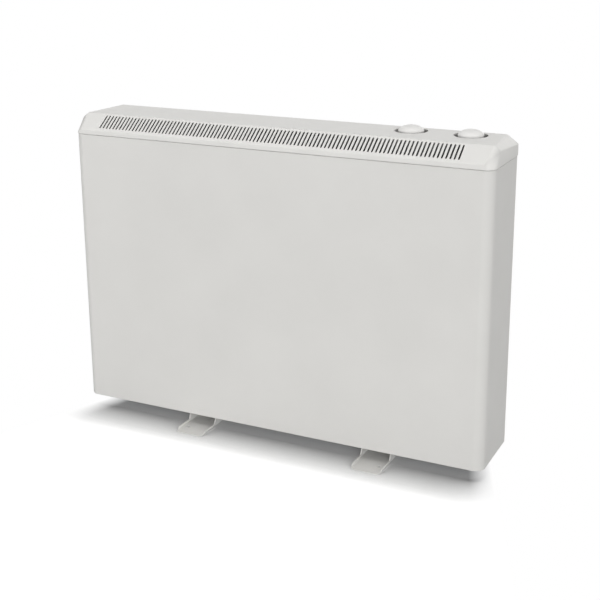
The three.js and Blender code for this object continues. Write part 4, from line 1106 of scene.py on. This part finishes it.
    def slots(self) -> Piece:
        """The grille's slots as one tool: round ended and slightly flared at the surface."""
        start, end = self.slot_bottom_margin, self.slope_length - self.slot_top_margin
        half = self.slot_width / 2
        flare = self.slot_flare
        tool = block("slots", (-half, start, -self.wall - 2 * LAP), (half, end, 0))
        bevel(tool, is_upright, half * self.slot_end_share, self.slot_end_steps)
        with editing(tool):
            choose(tool, Part.FACE, lambda face: face.normal.z > UPRIGHT)
            bpy.ops.transform.translate(value=(0, 0, -flare))
            extrude((0, 0, flare))
            bpy.ops.transform.resize(value=(1 + flare / half, 1 + 2 * flare / (end - start), 1))
            extrude((0, 0, LAP))
        run = self.high.x - self.low.x - self.grille_left - self.grille_right
        count = round((run - self.slot_width) / self.slot_pitch) + 1
        apply(
            tool,
            "ARRAY",
            count=count,
            use_relative_offset=False,
            use_constant_offset=True,
            constant_offset_displace=(self.slot_pitch, 0, 0),
        )
        centre = (self.grille_left - self.grille_right) / 2
        return self.on_slope(tool, centre - (count - 1) / 2 * self.slot_pitch)

    def recess_radius(self, knob: str) -> float:
        """Radius of the recess round one knob."""
        low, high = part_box(knob)
        return (high.x - low.x) / 2 + self.finger_gap

    def about(self, knob: str, name: str, profile: Sequence[Pair]) -> Piece:
        """Spins a profile about a knob's axis, with heights measured from the flat top."""
        axis = heart(knob)
        return spun(name, profile, (axis.x, axis.y, self.high.z), self.round_steps)

    def cup(self, knob: str) -> Piece:
        """The outside of the cup that holds one knob, joined under the flat top."""
        radius = self.recess_radius(knob) + self.wall
        depth = self.recess_depth + self.wall
        soft = self.recess_fillet
        profile = [
            (0, -depth),
            *arc((radius - soft, soft - depth), soft, -90, 0, self.cup_steps),
            (radius, -self.wall / 2),
            (0, -self.wall / 2),
        ]
        return self.about(knob, "cup", profile)

    def recess(self, knob: str) -> Piece:
        """What is cut away inside one cup: spindle hole, floor, wall and rounded rim."""
        radius = self.recess_radius(knob)
        depth = self.recess_depth
        soft = self.recess_fillet
        rim = self.rim_round
        profile = [
            (0, -depth - self.wall - LAP),
            (self.spindle_hole, -depth - self.wall - LAP),
            (self.spindle_hole, -depth),
            *arc((radius - soft, soft - depth), soft, -90, 0, self.recess_steps),
            *reversed(arc((radius + rim, -rim), rim, 90, 180, self.rim_steps)),
            (radius + rim, LAP),
            (0, LAP),
        ]
        return self.about(knob, "recess", profile)


# ---- Knobs ----


@dataclass
class Knob:
    """A plain domed knob with a rounded shoulder, hollow below round its hub."""

    node: str
    body: str
    wall: float = 2.5 * MM
    hub: float = 7 * MM
    bore: float = 3.3 * MM
    bore_depth: float = 11.3 * MM
    edge_rise: float = -1 * MM
    edge_soft: float = 0.5 * MM
    crown_steps: int = 16
    steps: int = 96
    fullness: float = 0.95
    shading_angle: float = 40

    def build(self) -> None:
        """Builds and dresses one knob."""
        low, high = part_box(self.node)
        radius = (high.x - low.x) / 2
        height = high.z - low.z
        edge = height - (high.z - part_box("top_cover")[1].z) + self.edge_rise
        turns = [math.pi / 2 * i / self.crown_steps for i in range(1, self.crown_steps + 1)]
        crown = [
            (radius * math.sin(turn), edge + (height - edge) * math.cos(turn) ** self.fullness)
            for turn in turns
        ]
        inner = radius - self.wall
        ceiling = edge - self.wall
        profile = [
            (0.0, height), *crown, (radius, self.edge_soft), (radius - self.edge_soft, 0),
            (inner, 0), (inner, ceiling), (self.hub, ceiling), (self.hub, 0), (self.bore, 0),
            (self.bore, self.bore_depth), (0, self.bore_depth),
        ]
        axis = heart(self.node)
        piece = spun(f"{self.node}_cap", profile, (axis.x, axis.y, low.z), self.steps)
        complete(piece, KNOB_ABS, self.body, self.node, degrees=self.shading_angle)


# ---- Feet and fasteners ----


@dataclass
class Foot:
    """A pressed steel foot: plate with low side lips in front and high walls under the body."""

    node: str
    way: int
    sheet: float = 2 * MM
    fold: float = 3.2 * MM
    lip: float = 7 * MM
    front_corner: float = 12 * MM
    corner_steps: int = 10
    lip_ramp: float = 4 * MM
    rise_run: float = 10 * MM
    rise_setback: float = 5.5 * MM
    tab_length: float = 50 * MM
    tab_reach: float = 40 * MM
    tab_corner: float = 6 * MM
    tab_steps: int = 6
    soft: float = 3 * MM
    trim: float = 0.05 * MM
    edge_angle: float = 50
    edge_round: float = 0.3 * MM
    bolt_hole: float = 3.3 * MM
    floor_hole: float = 4 * MM
    hole_inset_x: float = 15 * MM
    hole_inset_y: float = 35 * MM
    low: Vector = field(init=False)
    high: Vector = field(init=False)
    bolt: Vector = field(init=False)
    front: float = field(init=False)

    def __post_init__(self) -> None:
        """Reads the foot's box, the middle of its bolt, and the casing's front."""
        self.low, self.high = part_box(self.node)
        self.bolt = heart(self.node.replace("foot", "foot_bolt"))
        self.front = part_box("front_casing")[0].y

    @property
    def outer_x(self) -> float:
        """X of the foot's side that looks away from the heater's middle."""
        return self.high.x if self.way > 0 else self.low.x

    def build(self) -> None:
        """Builds and dresses one foot."""
        low, high = self.low, self.high
        piece = self.channel()
        combine(piece, self.side_form(), Join.KEEP)
        lift = Vector((0, 0, LAP))
        plan = rounded_box("plan", low - lift, high + lift, self.front_corner, self.corner_steps)
        combine(piece, plan, Join.KEEP)
        combine(piece, self.tab(), Join.ADD)
        hole_x = self.outer_x - self.way * self.hole_inset_x
        bolt_place = (self.bolt.x, self.bolt.y, high.z)
        floor_place = (hole_x, low.y + self.hole_inset_y, low.z + self.sheet)
        for radius, place in ((self.bolt_hole, bolt_place), (self.floor_hole, floor_place)):
            combine(piece, peg(radius, -self.sheet - LAP, LAP, place), Join.CUT)
        bevel(piece, self.is_shown_edge, self.edge_round, 2)
        complete(piece, ENAMEL, BODY, self.node)

    def is_shown_edge(self, edge: Edge) -> bool:
        """Whether an edge is sharp and stands in front of the casing."""
        return is_sharp(edge, self.edge_angle) and middle(edge).y < self.front

    def channel(self) -> Piece:
        """The bent sheet as a channel with high walls all along."""
        low, high, sheet = self.low, self.high, self.sheet
        inner = self.fold - sheet
        outline = soften([
            (low.x, high.z, 0), (low.x, low.z, self.fold),
            (high.x, low.z, self.fold), (high.x, high.z, 0),
            (high.x - sheet, high.z, 0), (high.x - sheet, low.z + sheet, inner),
            (low.x + sheet, low.z + sheet, inner), (low.x + sheet, high.z, 0),
        ])
        points = [Vector((x, low.y - LAP, z)) for x, z in outline]
        return prism(f"{self.node}_pressing", points, (0, high.y - low.y + 2 * LAP, 0))

    def side_form(self) -> Piece:
        """The foot's shape from the side, as wide as the foot: plate, low lip, rise, wall."""
        low, high, soft = self.low, self.high, self.soft
        lip_start = low.y + self.front_corner
        rise = self.front + self.rise_setback
        plate = low.z + self.sheet + self.trim
        outline = soften([
            (low.y - LAP, low.z - LAP, 0),
            (high.y + LAP, low.z - LAP, 0),
            (high.y + LAP, plate, 0),
            (high.y - self.sheet, plate, 0),
            (high.y - self.sheet, high.z, soft),
            (rise + self.rise_run, high.z, soft),
            (rise, low.z + self.lip, soft),
            (lip_start + self.lip_ramp, low.z + self.lip, soft),
            (lip_start, plate, 0),
            (low.y - LAP, plate, 0),
        ])
        points = [Vector((low.x - LAP, y, z)) for y, z in outline]
        return prism("side", points, (high.x - low.x + 2 * LAP, 0, 0))

    def tab(self) -> Piece:
        """The tab that is bolted under the tray."""
        half = self.tab_length / 2
        outer = self.outer_x - self.way * self.sheet / 2
        inner = self.outer_x - self.way * self.tab_reach
        piece = block(
            "tab",
            (min(inner, outer), self.bolt.y - half, self.high.z - self.sheet),
            (max(inner, outer), self.bolt.y + half, self.high.z - self.trim),
        )

        def is_free(edge: Edge) -> bool:
            """Whether an edge is an upright one at the tab's free end."""
            return is_upright(edge) and abs(middle(edge).x - inner) < LAP

        bevel(piece, is_free, self.tab_corner, self.tab_steps)
        return piece


@dataclass
class Fastener:
    """A bolt or screw with its head below: a hexagon or a low dome, and a threaded shank."""

    node: str
    shank: float
    head_height: float
    hexagon: bool
    overlap: float = 0.2 * MM
    chamfer: float = 0.6 * MM
    dome_step: int = 15
    dome_sides: int = 40
    slot_reach: float = 0.55
    slot_half: float = 0.12
    slot_depth: float = 0.55
    shank_sides: int = 24
    thread_pitch: float = 1 * MM
    thread_root: float = 0.86
    thread_rise: float = 0.4

    def build(self) -> None:
        """Builds and dresses one fastener."""
        low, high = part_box(self.node)
        piece = self.head(low.z, (high.y - low.y) / 2)
        start = low.z + self.head_height - self.overlap
        combine(piece, self.threaded(start, high.z - start), Join.ADD)
        complete(piece, ZINC, BODY, self.node)

    def head(self, foot: float, radius: float) -> Piece:
        """A chamfered hexagon, or a low dome with a cross slot.

        Args:
            foot: Height of the head's lower side.
            radius: Half of its width.

        Returns:
            The head.
        """
        axis = heart(self.node)
        height = self.head_height
        name = f"{self.node}_fine"
        if self.hexagon:
            bpy.ops.object.select_all(action="DESELECT")
            bpy.ops.mesh.primitive_cylinder_add(
                vertices=6,
                radius=radius,
                depth=height,
                location=(axis.x, axis.y, foot + height / 2),
                rotation=(0, 0, math.radians(30)),
            )
            piece = named(name)
            settle(piece)
            bevel(piece, lambda edge: middle(edge).z < foot + MERGE, self.chamfer, 2)
            return piece
        turns = [math.radians(angle) for angle in range(0, 91, self.dome_step)]
        dome = [(radius * math.sin(turn), height * (1 - math.cos(turn))) for turn in turns]
        piece = spun(name, [*dome, (0, height)], (axis.x, axis.y, foot), self.dome_sides)
        reach, half = radius * self.slot_reach, radius * self.slot_half
        for wide, deep in ((reach, half), (half, reach)):
            slot = block(
                "slot",
                (axis.x - wide, axis.y - deep, foot - LAP),
                (axis.x + wide, axis.y + deep, foot + height * self.slot_depth),
            )
            combine(piece, slot, Join.CUT)
        return piece

    def threaded(self, foot: float, length: float) -> Piece:
        """A shank with a groove for each turn of its thread.

        Args:
            foot: Height of its lower end.
            length: Its length.

        Returns:
            The shank.
        """
        crest, root = self.shank, self.shank * self.thread_root
        pitch, rise = self.thread_pitch, self.thread_rise
        count = int(length / pitch) - 1
        profile = [(0, 0), (crest, 0)]
        for i in range(count):
            profile += [(crest, (i + 1 - rise) * pitch), (root, (i + 1) * pitch)]
        profile += [(crest, (count + rise) * pitch), (root, length), (0, length)]
        axis = heart(self.node)
        return spun("shank", profile, (axis.x, axis.y, foot), self.shank_sides)


@dataclass
class CableGland:
    """A rubber gland in the tray: flange below, ribbed neck above, open bore."""

    bore: float = 5 * MM
    neck: float = 9 * MM
    flange_height: float = 3.5 * MM
    ribs: int = 4
    groove: tuple[Pair, ...] = ((0.55, 0), (0.7, 0.8 * MM), (0.85, 0.8 * MM), (1, 0.1 * MM))
    soft: float = 1 * MM
    soft_steps: int = 4
    steps: int = 48
    shading_angle: float = 40

    def build(self) -> None:
        """Builds and dresses the gland."""
        low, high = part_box("cable_gland")
        radius = (high.x - low.x) / 2
        height = high.z - low.z
        soft, steps = self.soft, self.soft_steps
        pitch = (height - self.flange_height - soft) / self.ribs
        profile = [
            (self.bore, soft),
            (self.bore + soft, 0),
            *arc((radius - soft, soft), soft, -90, 0, steps),
            *arc((radius - soft, self.flange_height - soft), soft, 0, 90, steps),
            (self.neck, self.flange_height),
        ]
        for i in range(self.ribs):
            foot = self.flange_height + i * pitch
            profile += [(self.neck - deep, foot + share * pitch) for share, deep in self.groove]
        profile += [(self.neck - soft, height), (self.bore, height), (self.bore, soft)]
        axis = heart("cable_gland")
        piece = spun("cable_gland_ribbed", profile, (axis.x, axis.y, low.z), self.steps)
        complete(piece, RUBBER, BODY, "cable_gland", degrees=self.shading_angle)


# ---- What is carried over ----


@dataclass
class Inside:
    """The core, the controls and the tray: solids of the frame with their real finishes.

    Each row gives a finish, how far the edges are worn, and how the names of its nodes start.
    """

    rows: tuple[tuple[Finish, float, tuple[str, ...]], ...] = (
        (GALVANISED, 0, ("base_tray", "inner_front_panel", "control_bulkhead", "control_bracket")),
        (DULLED, 0, ("outlet_duct", "damper_flap")),
        (ZINC, 0, ("damper_rod",)),
        (BRICK, 1.5 * MM, ("brick",)),
        (BOARD, 1.2 * MM, ("insulation",)),
        (SHEATH, 0, ("heating_element",)),
        (ACETAL, 0, ("output_spindle",)),
        (BRASS, 0, ("input_spindle",)),
        (PHENOLIC, 0, ("charge_thermostat", "thermal_cutout")),
        (NYLON, 0, ("terminal_block",)),
        (BROWN_PVC, 0, ("live_lead", "mains_lead")),
        (BLUE_PVC, 0, ("neutral_lead",)),
    )
    weld: float = 0.01 * MM
    flat_angle: float = 1
    worn_angle: float = 50

    def build(self) -> None:
        """Gives every node that stays its finish, and some their worn edges."""
        for name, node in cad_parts.items():
            row = next((row for row in self.rows if name.startswith(row[2])), None)
            if row is None or node.hide_render:
                continue
            finish, width, _ = row
            material = finish.material()
            if not node.material_slots:
                node.data.materials.append(material)
            for slot in node.material_slots:
                slot.material = material
            if width:
                self.wear(node, width)
            log.info("%s: %s", name, material.name)

    def wear(self, node: Piece, width: float) -> None:
        """Breaks a node's sharp edges, as handling does."""
        flat, worn = math.radians(self.flat_angle), math.radians(self.worn_angle)
        modify(node, "WELD", merge_threshold=self.weld)
        modify(node, "DECIMATE", decimate_type="DISSOLVE", angle_limit=flat)
        modify(node, "BEVEL", width=width, segments=2, limit_method="ANGLE", angle_limit=worn)


# ---- Studio ----


@dataclass
class Studio:
    """A white floor, soft lamps, and a camera about where the photograph was taken from.

    Each lamp has its name, the direction to it, the brightness that it gives a white surface
    that faces it, and its angular width in degrees. The floor is shaded by how much of the sky
    above it the heater hides, and fades to white beyond two slanted lines to its sides.
    """

    camera_place: tuple[float, float, float] = (1.1221, -2.1973, 1.1624)
    camera_turn: tuple[float, float, float] = (74.1, 0.38, 25.88)
    lens: float = 69.4
    sensor: float = 36
    shift: float = -0.1
    farthest: float = 100
    lamps: tuple[tuple[str, tuple[float, float, float], float, float], ...] = (
        ("front_light", (0.51, -0.74, 0.12), 0.76, 40),
        ("left_light", (-0.8, -0.6, 0.12), 0.33, 50),
        ("overhead_light", (0.04, 0.05, 1.0), 0.41, 30),
        ("back_light", (0.0, 1.0, 0.14), 0.35, 30),
    )
    lamp_distance: float = 3.0
    ambient: float = 0.2
    floor_size: float = 30.0
    floor_grey: float = 0.6
    shade_reach: float = 0.12
    shade_samples: int = 16
    shade_middle: float = 0.02
    shade_ends: Pair = (0.43, 0.485)
    shade_slant: float = 0.4
    shade_tones: tuple[Pair, ...] = (
        (0.0, 0.75), (0.2, 0.72), (0.4, 0.7), (0.5, 0.44), (0.69, 0.66), (0.92, 1.0), (0.995, 1.34)
    )

    def build(self) -> None:
        """Sets up the view, the light and the floor."""
        self.camera()
        self.world()
        self.floor()
        for lamp in self.lamps:
            self.lamp(*lamp)
        bpy.context.scene.view_settings.view_transform = "Standard"

    def camera(self) -> None:
        """Adds the camera."""
        turn = [math.radians(angle) for angle in self.camera_turn]
        bpy.ops.object.camera_add(location=self.camera_place, rotation=turn)
        camera = named("photo_camera")
        camera.data.lens = self.lens
        camera.data.sensor_width = self.sensor
        camera.data.shift_y = self.shift
        camera.data.clip_end = self.farthest
        bpy.context.scene.camera = camera

    def lamp(self, name: str, towards: Spot, share: float, spread: float) -> None:
        """Adds one soft, distant lamp, which leaves no glare on the object.

        Args:
            name: The lamp's name.
            towards: Direction from the heater to the lamp.
            share: Brightness that it gives a white surface that faces it; 1 is white.
            spread: The lamp's angular width, in degrees.
        """
        way = Vector(towards)
        bpy.ops.object.light_add(type="SUN", location=way * self.lamp_distance)
        lamp = named(name)
        lamp.data.energy = share * math.pi
        lamp.data.angle = math.radians(spread)
        lamp.rotation_euler = (-way).to_track_quat("-Z", "Y").to_euler()
        lamp.visible_glossy = False

    def world(self) -> None:
        """Even grey light all round, seen as white by the camera, in reflections and in glass."""
        world = bpy.data.worlds.new("white_studio")
        bpy.context.scene.world = world
        draw = Drawing(world)
        seen = draw.add("LightPath", out="Is Camera Ray")
        rays = seen.node.outputs
        for ray in ("Is Glossy Ray", "Is Transmission Ray"):
            seen = draw.add("Math", {0: seen, 1: rays[ray]}, operation="MAXIMUM")
        ends = {"To Min": self.ambient, "To Max": 1.0}
        strength = draw.add("MapRange", {"Value": seen, **ends})
        back = draw.add("Background", {"Color": (1, 1, 1, 1), "Strength": strength})
        draw.add("OutputWorld", {"Surface": back})

    def floor(self) -> None:
        """A large floor: plain grey to the light, shaded or white to the camera."""
        bpy.ops.object.select_all(action="DESELECT")
        bpy.ops.mesh.primitive_plane_add(size=self.floor_size)
        floor = named("studio_floor")
        draw = Drawing(bpy.data.materials.new("white_studio_paper"))
        camera_ray = draw.add("LightPath", out="Is Camera Ray")
        reach = {"Distance": self.shade_reach}
        near = draw.add("AmbientOcclusion", reach, "AO", samples=self.shade_samples)
        shade = draw.add("ValToRGB", {"Fac": near})
        ramp = shade.node.color_ramp.elements
        for i, (where, grey) in enumerate(self.shade_tones):
            stop = ramp[i] if i < 2 else ramp.new(where)
            stop.position = where
            stop.color = (grey, grey, grey, 1)
        spot = draw.add("SeparateXYZ", {"Vector": draw.place}, "X")
        off = draw.add("Math", {0: spot, 1: self.shade_middle}, operation="SUBTRACT")
        aside = draw.add("Math", {0: off}, operation="ABSOLUTE")
        slant = {0: spot.node.outputs["Y"], 1: self.shade_slant, 2: aside}
        past = draw.add("Math", slant, operation="MULTIPLY_ADD")
        start, end = self.shade_ends
        beyond = draw.add("MapRange", {"Value": past, "From Min": start, "From Max": end})
        share = draw.add("Math", {0: beyond, 1: camera_ray}, operation="MULTIPLY")
        plain = (*[self.floor_grey] * 3, 1)
        tones = {"Factor": camera_ray, MIX_FIRST: plain, MIX_SECOND: shade}
        paper = draw.add("BsdfDiffuse", {"Color": draw.add("Mix", tones, MIX_RESULT, data_type="RGBA")})
        white = draw.add("Emission", {"Color": (1, 1, 1, 1), "Strength": 1.0})
        seen = draw.add("MixShader", {0: share, 1: paper, 2: white})
        draw.add("OutputMaterial", {"Surface": seen})
        floor.data.materials.append(draw.owner)


def main() -> None:
    """Builds the heater's sub-assemblies in order, then the studio."""
    logging.basicConfig(level=logging.INFO, format="%(name)s: %(message)s")
    Casing().build()
    TopCover().build()
    Knob("output_knob", "output_control").build()
    Knob("input_knob", "input_control").build()
    Foot("foot_left", -1).build()
    Foot("foot_right", 1).build()
    for side in ("left", "right"):
        Fastener(f"foot_bolt_{side}", 3 * MM, 4 * MM, hexagon=True).build()
        Fastener(f"casing_screw_{side}", 2 * MM, 2.2 * MM, hexagon=False).build()
    CableGland().build()
    Inside().build()
    Studio().build()


if __name__ == "__main__":
    main()
